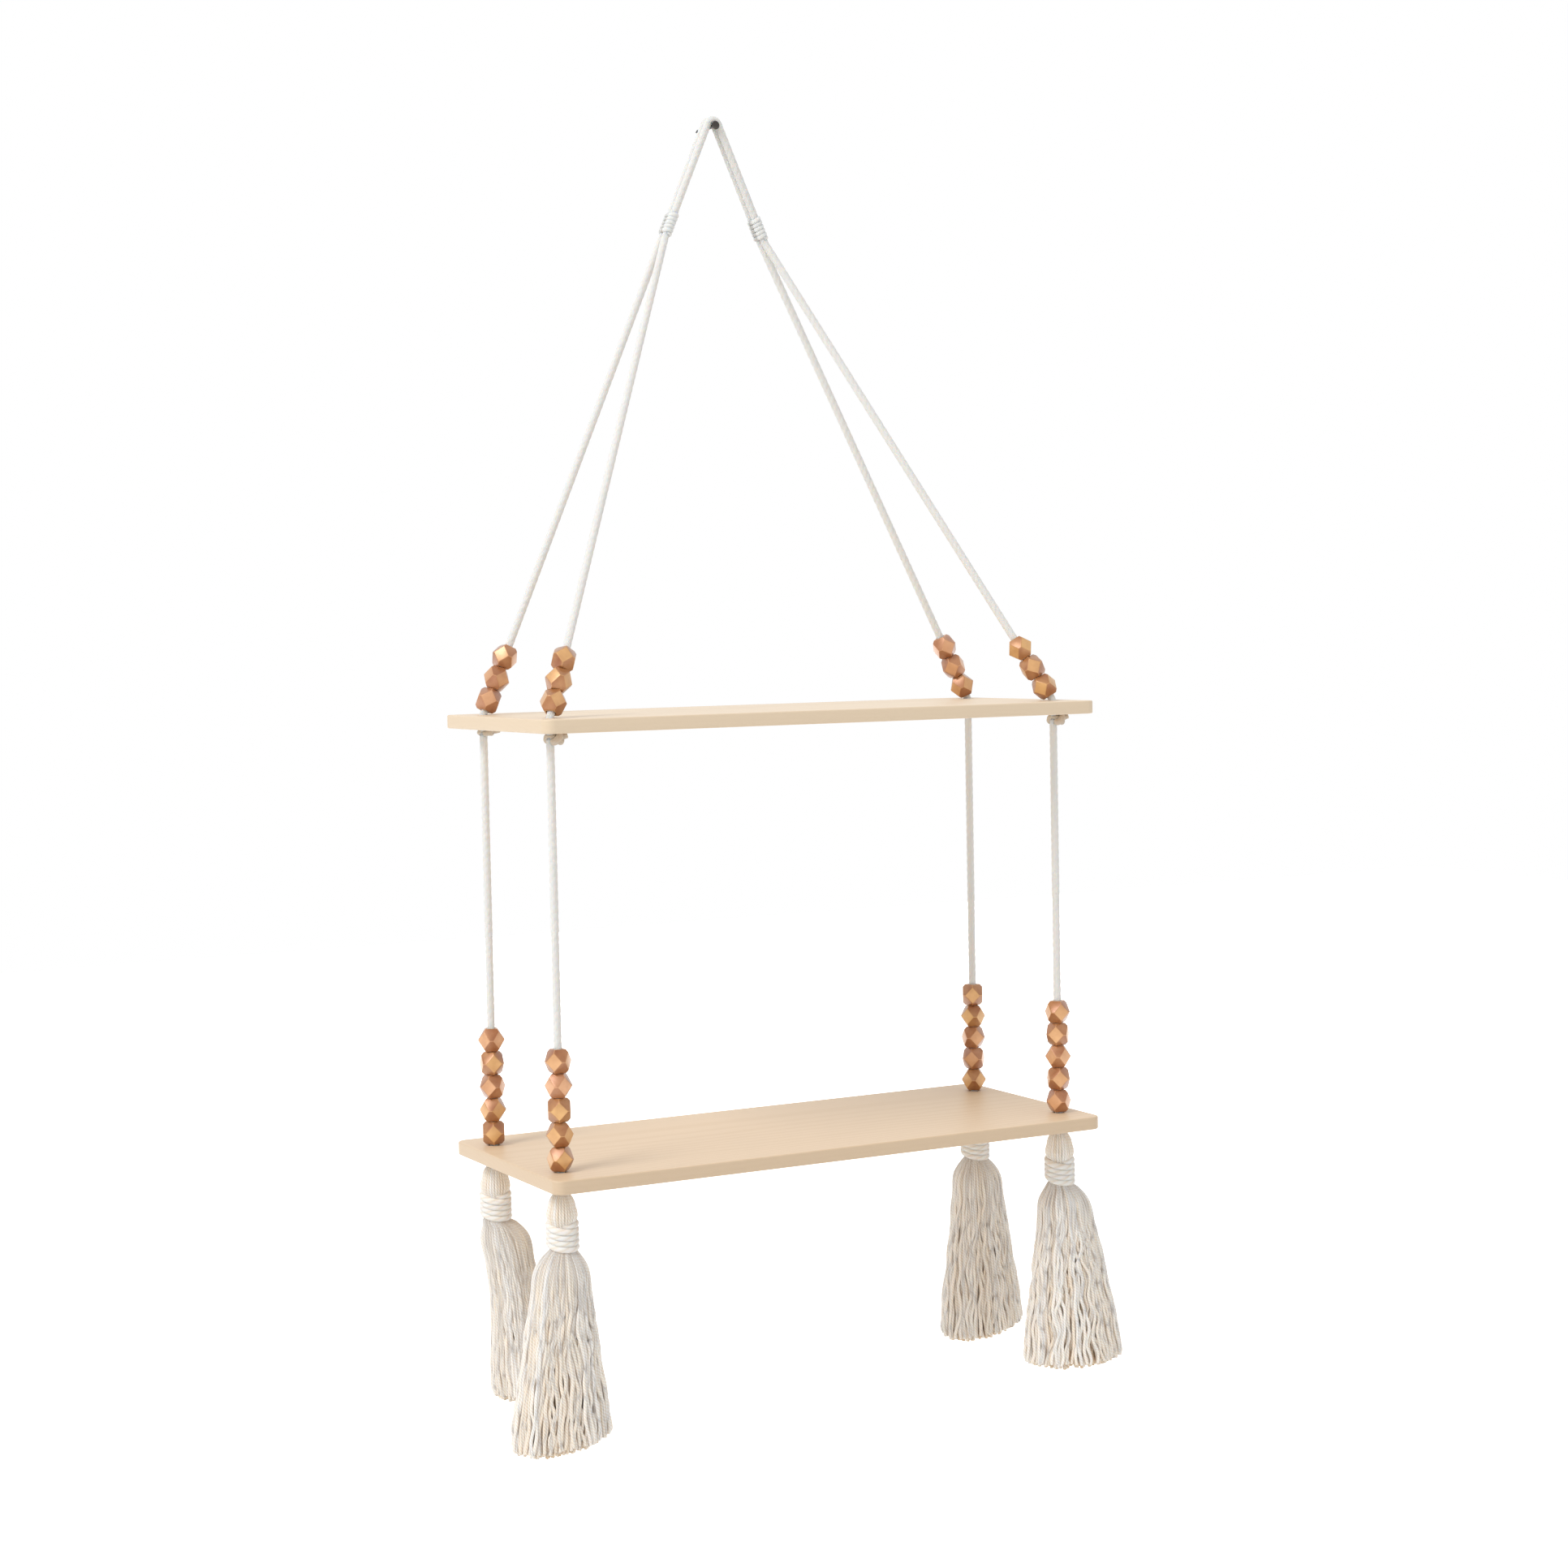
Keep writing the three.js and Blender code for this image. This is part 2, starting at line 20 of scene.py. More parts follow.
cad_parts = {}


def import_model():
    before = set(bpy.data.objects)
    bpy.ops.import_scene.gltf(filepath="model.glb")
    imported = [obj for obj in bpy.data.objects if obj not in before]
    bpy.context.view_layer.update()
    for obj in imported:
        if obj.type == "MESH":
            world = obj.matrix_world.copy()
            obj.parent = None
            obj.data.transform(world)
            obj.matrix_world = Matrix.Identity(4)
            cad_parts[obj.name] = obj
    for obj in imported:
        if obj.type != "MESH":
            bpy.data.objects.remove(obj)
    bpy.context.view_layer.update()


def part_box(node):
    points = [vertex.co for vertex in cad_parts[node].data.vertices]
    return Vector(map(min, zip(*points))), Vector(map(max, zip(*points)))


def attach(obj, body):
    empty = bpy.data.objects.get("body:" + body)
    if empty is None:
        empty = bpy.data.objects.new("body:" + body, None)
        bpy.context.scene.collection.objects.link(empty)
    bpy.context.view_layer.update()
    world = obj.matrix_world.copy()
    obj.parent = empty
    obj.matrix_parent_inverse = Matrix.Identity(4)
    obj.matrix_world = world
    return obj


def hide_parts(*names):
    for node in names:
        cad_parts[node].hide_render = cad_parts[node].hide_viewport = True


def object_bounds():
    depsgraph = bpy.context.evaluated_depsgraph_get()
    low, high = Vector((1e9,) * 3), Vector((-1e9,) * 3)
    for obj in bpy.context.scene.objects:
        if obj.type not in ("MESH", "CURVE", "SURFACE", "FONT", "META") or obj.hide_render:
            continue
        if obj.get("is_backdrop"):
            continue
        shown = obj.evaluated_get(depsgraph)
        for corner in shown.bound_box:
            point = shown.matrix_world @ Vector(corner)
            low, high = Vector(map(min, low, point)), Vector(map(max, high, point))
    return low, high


LOG = logging.getLogger("hanging_rope_shelf")
MM = 0.001
UP = Vector((0, 0, 1))
WHITE = (1, 1, 1, 1)
MIX_A, MIX_B, MIX_RESULT = 6, 7, 2  # the colour inputs and the colour output of a Mix node


class Corner(Enum):
    """The four corners of the shelf, in the order in which the bead turns are counted."""

    FRONT_LEFT = "front_left"
    FRONT_RIGHT = "front_right"
    REAR_LEFT = "rear_left"
    REAR_RIGHT = "rear_right"


def linear(code: str) -> tuple[float, float, float, float]:
    """Turns an sRGB hex colour to a linear one.

    Args:
        code: six hex digits after a hash sign.

    Returns:
        Linear red, green, blue and an alpha of 1.
    """
    shares = [int(code[i : i + 2], 16) / 255 for i in (1, 3, 5)]
    red, green, blue = ((s / 12.92) if s <= 0.04045 else ((s + 0.055) / 1.055) ** 2.4 for s in shares)
    return red, green, blue, 1.0


def add_node(tree: NodeTree, kind: str, inputs: dict | list = (), **settings) -> Node:
    """Adds one node with its settings, values and links.

    Args:
        tree: the node tree that gets the node.
        kind: Blender's name of the node type, without ShaderNode.
        inputs: the inputs in order or by name or number, each a value, the output that feeds it, or the node
            whose first output does.
        **settings: properties of the node.

    Returns:
        The new node.
    """
    node = tree.nodes.new(f"ShaderNode{kind}")
    for name, value in settings.items():
        setattr(node, name, value)
    for key, value in inputs.items() if isinstance(inputs, dict) else enumerate(inputs):
        source = value.outputs[0] if isinstance(value, Node) else value
        if isinstance(source, NodeSocket):
            tree.links.new(source, node.inputs[key])
        else:
            node.inputs[key].default_value = source
    return node


@dataclass(frozen=True)
class Finish:
    """A procedural finish. Each kind of finish says what feeds its Principled shader."""

    name: str

    def material(self) -> Material:
        """Builds the finish as a node material."""
        material = bpy.data.materials.new(self.name)
        material.use_nodes = True
        tree = material.node_tree
        tree.nodes.clear()
        surface = self.surface(tree, add_node(tree, "TexCoord").outputs["Object"])
        add_node(tree, "OutputMaterial", [add_node(tree, "BsdfPrincipled", surface)])
        return material

    def surface(self, tree: NodeTree, place: NodeSocket) -> dict:
        """Adds the finish's own nodes.

        Args:
            tree: the material's node tree.
            place: gives the place on the object.

        Returns:
            What goes into the inputs of the Principled shader.
        """
        raise NotImplementedError


@dataclass(frozen=True)
class PaleWood(Finish):
    """Planed softwood under a satin clear coat: faint growth rings, fine fibres and a soft sheen.

    A face value read below says how much of the side colour a face takes; that colour is darker than the top
    partly because cut edges take the coat deeper and partly as painted shade on the upright faces.
    """

    early_wood: str = "#e7cfb2"
    late_wood: str = "#d9bd99"
    # the side colour: partly cut edges that take the coat deeper, partly painted shade on the upright faces
    sawn_and_shaded_wood: str = "#cdb598"
    ring_width_mm: float = 3.4
    ring_strength: float = 0.4
    ring_start: float = -0.4  # where in its wave, from -1 to 1, a ring begins to darken
    pith_behind_mm: float = 60.0
    pith_below_mm: float = 900.0
    wander_mm: float = 26.0  # how far the rings wander in all
    wander_scale: tuple[float, float, float] = (3.5, 22, 22)  # per metre along X, Y and Z
    patch_scale: tuple[float, float, float] = (5, 11, 11)  # of the patches where the rings are faint
    fibre_width_mm: float = 0.7  # real fibres are finer, and are drawn as coarse as they need to show
    fibre_length_mm: float = 55.0
    fibre_strength: float = 0.5
    fibre_height_mm: float = 0.12
    roughness: float = 0.48
    coat: float = 0.12
    coat_roughness: float = 0.35

    def surface(self, tree: NodeTree, place: NodeSocket) -> dict:
        """Makes rings round a pith line along the board, so that the ends show end grain."""
        thin = 1 / (self.fibre_width_mm * MM)
        fibre_scale = (1 / (self.fibre_length_mm * MM), thin, thin)
        noises = []
        for scale, detail in ((self.wander_scale, 3.0), (fibre_scale, 2.0), (self.patch_scale, 2.0)):
            grid = add_node(tree, "Mapping", {"Vector": place, "Scale": scale})
            noises.append(add_node(tree, "TexNoise", {"Vector": grid, "Scale": 1.0, "Detail": detail}))
        drift, fibre, patch = noises
        axes = add_node(tree, "SeparateXYZ", [place]).outputs
        swing = [drift, self.wander_mm * MM, -self.wander_mm * MM / 2]
        wander = add_node(tree, "Math", swing, operation="MULTIPLY_ADD")
        back = add_node(tree, "Math", [axes["Y"], wander], operation="ADD")
        across = add_node(tree, "Math", [back, self.pith_behind_mm * MM], operation="ADD")
        above = add_node(tree, "Math", [axes["Z"], self.pith_below_mm * MM], operation="ADD")
        arm = add_node(tree, "CombineXYZ", [0.0, across, above])
        reach = add_node(tree, "VectorMath", [arm], operation="LENGTH").outputs["Value"]
        per_metre = math.tau / (self.ring_width_mm * MM)
        turn = add_node(tree, "Math", [reach, per_metre], operation="MULTIPLY")
        wave = add_node(tree, "Math", [turn], operation="SINE")
        rise = {"Value": wave, "From Min": self.ring_start}
        ring = add_node(tree, "MapRange", rise, interpolation_type="SMOOTHSTEP")
        share = add_node(tree, "Math", [ring, patch], operation="MULTIPLY")
        rings = add_node(tree, "Math", [share, self.ring_strength], operation="MULTIPLY")
        tone = add_node(tree, "Math", [fibre, self.fibre_strength, rings], operation="MULTIPLY_ADD")
        woods = {0: tone, MIX_A: linear(self.early_wood), MIX_B: linear(self.late_wood)}
        planed = add_node(tree, "Mix", woods, data_type="RGBA").outputs[MIX_RESULT]
        # upright faces take the side colour, partly painted shade
        side_mask = add_node(tree, "Attribute", attribute_type="GEOMETRY", attribute_name="sawn_edge_and_shade")
        faces = {0: side_mask.outputs["Fac"], MIX_A: planed, MIX_B: linear(self.sawn_and_shaded_wood)}
        bump = {"Strength": 0.25, "Distance": self.fibre_height_mm * MM, "Height": fibre}
        return {
            "Base Color": add_node(tree, "Mix", faces, data_type="RGBA").outputs[MIX_RESULT],
            "Roughness": self.roughness,
            "Coat Weight": self.coat,
            "Coat Roughness": self.coat_roughness,
            "Normal": add_node(tree, "Bump", bump),
        }


@dataclass(frozen=True)
class CopperPaint(Finish):
    """Metallic copper paint brushed on a cut wooden bead: warm satin facets, some rosy and some golden.

    The face value named end_grain is 1 on a corner cut, where the paint sinks in and looks deeper. The one
    named gold_share says how golden a bead's paint is.
    """

    name: str = "copper_paint_on_wood"
    rose: str = "#dba478"
    gold: str = "#daa968"
    deep: str = "#96562a"
    patch_mm: float = 11.0
    patch_depth: float = 0.4
    flake_mm: float = 0.5  # the real flake is finer, and is drawn as coarse as it needs to show
    flake_height_mm: float = 0.05
    metallic: float = 0.3
    roughness: float = 0.36
    lacquer_roughness: float = 0.32
    end_grain_depth: float = 0.6

    def surface(self, tree: NodeTree, place: NodeSocket) -> dict:
        """Makes the paint rose to gold by bead, deeper on end grain, with a fine flake in the gloss."""
        hue, grain = (
            add_node(tree, "Attribute", attribute_type="GEOMETRY", attribute_name=name).outputs["Fac"]
            for name in ("gold_share", "end_grain")
        )
        patch, flake = (
            add_node(tree, "TexNoise", {"Vector": place, "Scale": 1 / (size * MM), "Detail": detail})
            for size, detail in ((self.patch_mm, 3.0), (self.flake_mm, 1.0))
        )
        hues = {0: hue, MIX_A: linear(self.rose), MIX_B: linear(self.gold)}
        body = add_node(tree, "Mix", hues, data_type="RGBA").outputs[MIX_RESULT]
        span = {"From Min": 0.35, "From Max": 0.75, "To Max": self.patch_depth}
        thick = add_node(tree, "MapRange", {"Value": patch, **span})
        sunk = add_node(tree, "Math", [grain, self.end_grain_depth, thick], operation="MULTIPLY_ADD")
        depths = {0: sunk, MIX_A: body, MIX_B: linear(self.deep)}
        gloss = {"Value": flake, "From Min": 0.3, "From Max": 0.7}
        gloss |= {"To Min": self.roughness - 0.06, "To Max": self.roughness + 0.1}
        bump = {"Strength": 0.2, "Distance": self.flake_height_mm * MM, "Height": flake}
        return {
            "Base Color": add_node(tree, "Mix", depths, data_type="RGBA").outputs[MIX_RESULT],
            "Metallic": self.metallic,
            "Roughness": add_node(tree, "MapRange", gloss),
            "Specular IOR Level": 0.3,
            "Coat Weight": 1.0,
            "Coat Roughness": self.lacquer_roughness,
            "Normal": add_node(tree, "Bump", bump),
        }


@dataclass(frozen=True)
class TwistedCotton(Finish):
    """Twisted cotton: matt off-white, with yarn lines that run across the lay and a soft fibre sheen.

    The map named lay holds the share of a turn round the cord and the length along it in millimetres. The
    face value named yarn_shade darkens single yarns, as painted shade on a tassel's inner and sunken yarns
    and as a random tone, and is 0 on a piece that has none.
    """

    light: str
    shade: str
    yarns_round: float
    lay_mm: float
    bump_mm: float = 0.18
    fibre_mm: float = 0.8  # the real fibre is finer, and is drawn as coarse as it needs to show
    fibre_strength: float = 0.5
    line_lightness: float = 0.5  # how light the lines between its yarns stay under their painted shade, from 0 to 1
    roughness: float = 0.92
    sheen: float = 0.2
    light_depth_mm: float = 3.0  # how far light wanders inside the cotton
    light_share: float = 0.5  # how much of the light wanders inside it

    def surface(self, tree: NodeTree, place: NodeSocket) -> dict:
        """Makes yarn lines and fibre noise in the bump, with painted shade where the lines lie deep and a
        random tone from the fibre noise.
        """
        axes = add_node(tree, "SeparateXYZ", [add_node(tree, "UVMap", uv_map="lay")]).outputs
        along = add_node(tree, "Math", [axes["Y"], 1 / self.lay_mm, axes["X"]], operation="MULTIPLY_ADD")
        turn = add_node(tree, "Math", [along, math.pi * self.yarns_round], operation="MULTIPLY")
        wave = add_node(tree, "Math", [turn], operation="SINE")
        yarn = add_node(tree, "Math", [wave], operation="ABSOLUTE")
        scale = 1 / (self.fibre_mm * MM)
        fibre = add_node(tree, "TexNoise", {"Vector": place, "Scale": scale, "Detail": 3.0})
        height = add_node(tree, "Math", [fibre, self.fibre_strength, yarn], operation="MULTIPLY_ADD")
        span = {"From Min": 0.2, "From Max": 1.2, "To Min": self.line_lightness}
        tone = add_node(tree, "MapRange", {"Value": height, **span})
        own = add_node(tree, "Attribute", attribute_type="GEOMETRY", attribute_name="yarn_shade")
        lit = add_node(
            tree, "Math", [own.outputs["Fac"], -1.0, tone], operation="MULTIPLY_ADD", use_clamp=True
        )
        # painted shade: deep yarn lines and shaded yarns take the shade colour
        tones = {0: lit, MIX_A: linear(self.shade), MIX_B: linear(self.light)}
        bump = {"Strength": 0.6, "Distance": self.bump_mm * MM, "Height": height}
        return {
            "Base Color": add_node(tree, "Mix", tones, data_type="RGBA").outputs[MIX_RESULT],
            "Roughness": self.roughness,
            "Sheen Weight": self.sheen,
            "Sheen Roughness": 0.5,
            "Subsurface Weight": self.light_share,
            "Subsurface Radius": (1.0, 0.8, 0.62),
            "Subsurface Scale": self.light_depth_mm * MM,
            "Normal": add_node(tree, "Bump", bump),
        }


@dataclass(frozen=True)
class BluedSteel(Finish):
    """Blued steel nail: nearly black, half glossy, with faint forging marks."""

    name: str = "blued_steel"
    color: str = "#4a4643"
    mark_mm: float = 0.8
    mark_height_mm: float = 0.05
    metallic: float = 0.9
    roughness: float = 0.38

    def surface(self, tree: NodeTree, place: NodeSocket) -> dict:
        """Makes a dark metal whose roughness and bump follow faint marks."""
        mark = add_node(tree, "TexNoise", {"Vector": place, "Scale": 1 / (self.mark_mm * MM), "Detail": 2.0})
        gloss = {"Value": mark, "To Min": self.roughness - 0.1, "To Max": self.roughness + 0.15}
        bump = {"Strength": 0.3, "Distance": self.mark_height_mm * MM, "Height": mark}
        return {
            "Base Color": linear(self.color),
            "Metallic": self.metallic,
            "Roughness": add_node(tree, "MapRange", gloss),
            "Normal": add_node(tree, "Bump", bump),
        }


@dataclass(frozen=True)
class FloorPaint(Finish):
    """Pale floor paint, white to the camera and in reflections but for the shelf's soft shadow."""

    name: str = "pale_floor"
    tone: str = "#f2f1ef"
    roughness: float = 0.9
    glow: float = 0.6
    fade: tuple[float, float] = (1.2, 4.0)  # between these distances it turns to the sky's white

    def surface(self, tree: NodeTree, place: NodeSocket) -> dict:
        """Makes the paint glow where it is seen, and more so far from the shelf."""
        ray = add_node(tree, "LightPath").outputs
        seen = add_node(tree, "Math", [ray["Is Camera Ray"], ray["Is Glossy Ray"]], operation="MAXIMUM")
        distance = add_node(tree, "VectorMath", [place], operation="LENGTH").outputs["Value"]
        near, far = self.fade
        fade = {"Value": distance, "From Min": near, "From Max": far, "To Min": self.glow}
        glow = add_node(tree, "MapRange", fade)
        return {
            "Base Color": linear(self.tone),
            "Roughness": self.roughness,
            "Emission Color": WHITE,
            "Emission Strength": add_node(tree, "Math", [seen, glow], operation="MULTIPLY"),
        }


@dataclass(frozen=True)
class Palette:
    """The finishes of the shelf."""

    upper_wood: Material
    lower_wood: Material
    beads: Material
    rope: Material
    thin_cord: Material
    knotted: Material
    yarn: Material
    nail: Material

    @classmethod
    def mixed(cls) -> "Palette":
        """Builds each finish once."""
        light_wood = {"early_wood": "#ecd8be", "late_wood": "#e1caaa", "sawn_and_shaded_wood": "#dcc7ab"}
        rope_light = {"light_depth_mm": 5.0, "light_share": 0.9}
        return cls(
            upper_wood=PaleWood("pale_wood_upper", **light_wood).material(),
            lower_wood=PaleWood("pale_wood_lower", pith_behind_mm=20.0, pith_below_mm=1040.0).material(),
            beads=CopperPaint().material(),
            rope=TwistedCotton(
                "twisted_cotton_rope", "#dededc", "#d3d2cf", 12, 19, 0.02, **rope_light
            ).material(),
            thin_cord=TwistedCotton("twisted_cotton_cord", "#e8e8e5", "#dcdbd7", 6, 9, 0.02).material(),
            # painted shade: the knots' rope is darker and tanner than the hanging rope, for the shade that
            # falls on the knots under the boards
            knotted=TwistedCotton("shaded_knot_rope", "#cfc1b0", "#b8a68f", 12, 19, 0.05).material(),
            yarn=TwistedCotton("loose_cotton_yarn", "#fdf8f2", "#e2c9ac", 3, 7, 0.06).material(),
            nail=BluedSteel().material(),
        )


def transport_frames(points: np.ndarray) -> tuple[np.ndarray, np.ndarray]:
    """Carries a pair of axes along a path without twisting them.

    Args:
        points: the path, one row per station.

    Returns:
        The two axes across the path at every station.
    """
    tangents = np.gradient(points, axis=0)
    tangents = tangents / np.linalg.norm(tangents, axis=-1, keepdims=True)
    start = np.eye(3)[np.argmin(np.abs(tangents[0]))]
    sides = np.empty_like(points)
    for i, tangent in enumerate(tangents):
        start = start - tangent * start.dot(tangent)
        start = start / math.sqrt(start.dot(start))
        sides[i] = start
    return sides, np.cross(tangents, sides)


@dataclass(frozen=True)
class Lay:
    """How a cord is laid up."""

    sides: int  # points round its outline
    strands: int = 0  # 0 gives a plain round cord
    groove: float = 0.0  # depth of the creases between the strands, as a share of the radius
    length: float = 0.0  # in which the strands turn once; 0 for strands that don't turn

    @property
    def section(self) -> np.ndarray:
        """The outline of such a cord of radius 1: one row of two offsets for each point."""
        angle = np.arange(self.sides) / self.sides * math.tau
        reach = 1 - self.groove * (1 - np.abs(np.cos(angle * self.strands / 2)))
        return np.stack([reach * np.cos(angle), reach * np.sin(angle)], axis=1)


def link_object(name: str, data: bpy.types.ID) -> Object:
    """Makes an object of a mesh, curve, lamp or camera and links it to the scene."""
    item = bpy.data.objects.new(name, data)
    bpy.context.scene.collection.objects.link(item)
    return item


def place_piece(
    mesh: Mesh, material: Material, node: str, look: str, body: str, crease_degrees: float = 50
) -> None:
    """Links a mesh to the scene as the piece that stands for a CAD node.

    Args:
        mesh: the piece's mesh, in its place.
        material: its finish.
        node: the CAD node that it replaces.
        look: what the piece's name adds to the node's.
        body: the body that it moves with.
        crease_degrees: edges sharper than this aren't smoothed over.
    """
    mesh.polygons.foreach_set("use_smooth", [True] * len(mesh.polygons))
    mesh.set_sharp_from_angle(angle=math.radians(crease_degrees))
    mesh.materials.append(material)
    piece = link_object(f"{node}_{look}", mesh)
    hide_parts(node)
    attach(piece, body)


@dataclass
class MeshMaker:
    """Collects tubes and turns them into one mesh, with a map named lay and a face value yarn_shade."""

    points: list[np.ndarray] = field(default_factory=list)
    sides: list[np.ndarray] = field(default_factory=list)
    ends: list[list[int]] = field(default_factory=list)
    lay: list[np.ndarray] = field(default_factory=list)
    side_shades: list[np.ndarray] = field(default_factory=list)
    end_shades: list[float] = field(default_factory=list)
    count: int = 0

    def tube(self, path: np.ndarray, radii: float | np.ndarray, lay: Lay, shade: float = 0) -> "MeshMaker":
        """Adds a cord that follows a path.

        Args:
            path: one row per station.
            radii: the cord's radius, one for all stations or one for each.
            lay: how the cord is laid up.
            shade: how much darker than the rest this cord is, from 0 to 1.

        Returns:
            The maker itself.
        """
        section = lay.section
        stations, around = len(path), lay.sides
        steps = np.linalg.norm(np.diff(path, axis=0), axis=1)
        along = np.concatenate([[0.0], np.cumsum(steps)])
        sides, ups = transport_frames(path)
        twist = along / lay.length * math.tau if lay.length else np.zeros(stations)
        cos, sin = np.cos(twist)[:, None], np.sin(twist)[:, None]
        reach = np.broadcast_to(radii, stations)[:, None]
        across = (section[None, :, 0] * cos - section[None, :, 1] * sin) * reach
        upward = (section[None, :, 0] * sin + section[None, :, 1] * cos) * reach
        ring = path[:, None] + sides[:, None] * across[..., None] + ups[:, None] * upward[..., None]
        self.points.append(ring.reshape(-1, 3))
        station, step = np.meshgrid(np.arange(stations - 1), np.arange(around), indexing="ij")
        after = (step + 1) % around
        here = self.count + station * around
        quads = np.stack([here + step, here + after, here + around + after, here + around + step], axis=-1)
        self.sides.append(quads.reshape(-1, 4))
        across_map = np.stack([step, step + 1, step + 1, step], axis=-1) / around
        along_map = along[np.stack([station, station, station + 1, station + 1], axis=-1)] / MM
        self.lay.append(np.stack([across_map, along_map], axis=-1).reshape(-1, 2))
        last = self.count + (stations - 1) * around
        self.ends.append(list(range(self.count + around - 1, self.count - 1, -1)))
        self.ends.append(list(range(last, last + around)))
        self.side_shades.append(np.full(station.size, shade))
        self.end_shades.extend([shade, shade])
        self.count = last + around
        return self

    def mesh(self, name: str) -> Mesh:
        """Makes the mesh of all tubes so far."""
        mesh = bpy.data.meshes.new(name)
        faces = np.concatenate(self.sides).tolist() + self.ends
        mesh.from_pydata(np.concatenate(self.points).tolist(), [], faces)
        flat_ends = np.zeros((sum(len(end) for end in self.ends), 2))
        layer = mesh.uv_layers.new(name="lay")
        layer.data.foreach_set("uv", np.concatenate([*self.lay, flat_ends]).astype(np.float32).ravel())
        shades = np.concatenate([*self.side_shades, self.end_shades])
        set_face_value(mesh, "yarn_shade", shades.astype(np.float32))
        return mesh


def mesh_from(work: bmesh.types.BMesh, name: str) -> Mesh:
    """Turns a finished bmesh into a mesh."""
    mesh = bpy.data.meshes.new(name)
    work.to_mesh(mesh)
    work.free()
    return mesh


def evaluated_mesh(maker: Object, name: str) -> Mesh:
    """Turns a helper object, with its modifiers, into a mesh of its own and removes the helper.

    Args:
        maker: the helper object.
        name: the new mesh's name.

    Returns:
        The new mesh.
    """
    graph = bpy.context.evaluated_depsgraph_get()
    mesh = bpy.data.meshes.new_from_object(maker.evaluated_get(graph))
    mesh.name = name
    bpy.data.objects.remove(maker)
    return mesh


def set_face_value(mesh: Mesh, name: str, values: list[float] | np.ndarray) -> None:
    """Stores one number for each face under a name that a finish reads."""
    mesh.attributes.new(name, "FLOAT", "FACE").data.foreach_set("value", values)


def curve_through(places: np.ndarray, knots: tuple[tuple[float, float], ...]) -> np.ndarray:
    """A smooth curve through a few points, by cubic pieces that don't overshoot much.

    Args:
        places: where the curve is wanted, within the first and last knot.
        knots: the points, each a place and a value, with rising places.

    Returns:
        The curve's value at every place.
    """
    xs, ys = np.array(knots).T
    slopes = np.gradient(ys, xs)
    index = np.clip(np.searchsorted(xs, places, side="right") - 1, 0, len(xs) - 2)
    width = xs[index + 1] - xs[index]
    t = np.clip((places - xs[index]) / width, 0, 1)
    start = (1 + 2 * t) * (1 - t) ** 2 * ys[index] + t * (1 - t) ** 2 * width * slopes[index]
    end = t * t * (3 - 2 * t) * ys[index + 1] + t * t * (t - 1) * width * slopes[index + 1]
    return start + end


def rounded_route(corners: list[Vector], radii: list[float], step: float) -> np.ndarray:
    """Stations of a route that runs straight and turns each inner corner on an arc.

    Args:
        corners: the route's corners.
        radii: the arc's radius at each inner corner.
        step: the distance between stations.

    Returns:
        One row per station.
    """
    stations = [np.array(corners[0])]

    def run_to(end: np.ndarray) -> None:
        """Adds the stations of a straight stretch."""
        start = stations[-1]
        pieces = max(1, round(float(np.linalg.norm(end - start)) / step))
        stations.extend(start + (end - start) * (i / pieces) for i in range(1, pieces + 1))

    for before, corner, after, radius in zip(corners, corners[1:], corners[2:], radii):
        into = (corner - before).normalized()
        out = (after - corner).normalized()
        turn = into.angle(out)
        axis = into.cross(out).normalized()
        start = corner - into * radius * math.tan(turn / 2)
        centre = start + axis.cross(into) * radius
        run_to(np.array(start))
        pieces = max(3, round(radius * turn / step))
        for k in range(1, pieces + 1):
            arm = Quaternion(axis, turn * k / pieces) @ (start - centre)
            stations.append(np.array(centre + arm))
    run_to(np.array(corners[-1]))
    return np.array(stations)


def box_middle(node: str) -> Vector:
    """The middle of a node's box."""
    low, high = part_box(node)
    return (low + high) / 2


def hole_place(corner: Corner) -> Vector:
    """The middle of a corner's rope hole, at the top of the upright rope."""
    low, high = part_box(f"{corner.value}_lower_rope")
    return Vector(((low.x + high.x) / 2, (low.y + high.y) / 2, high.z))


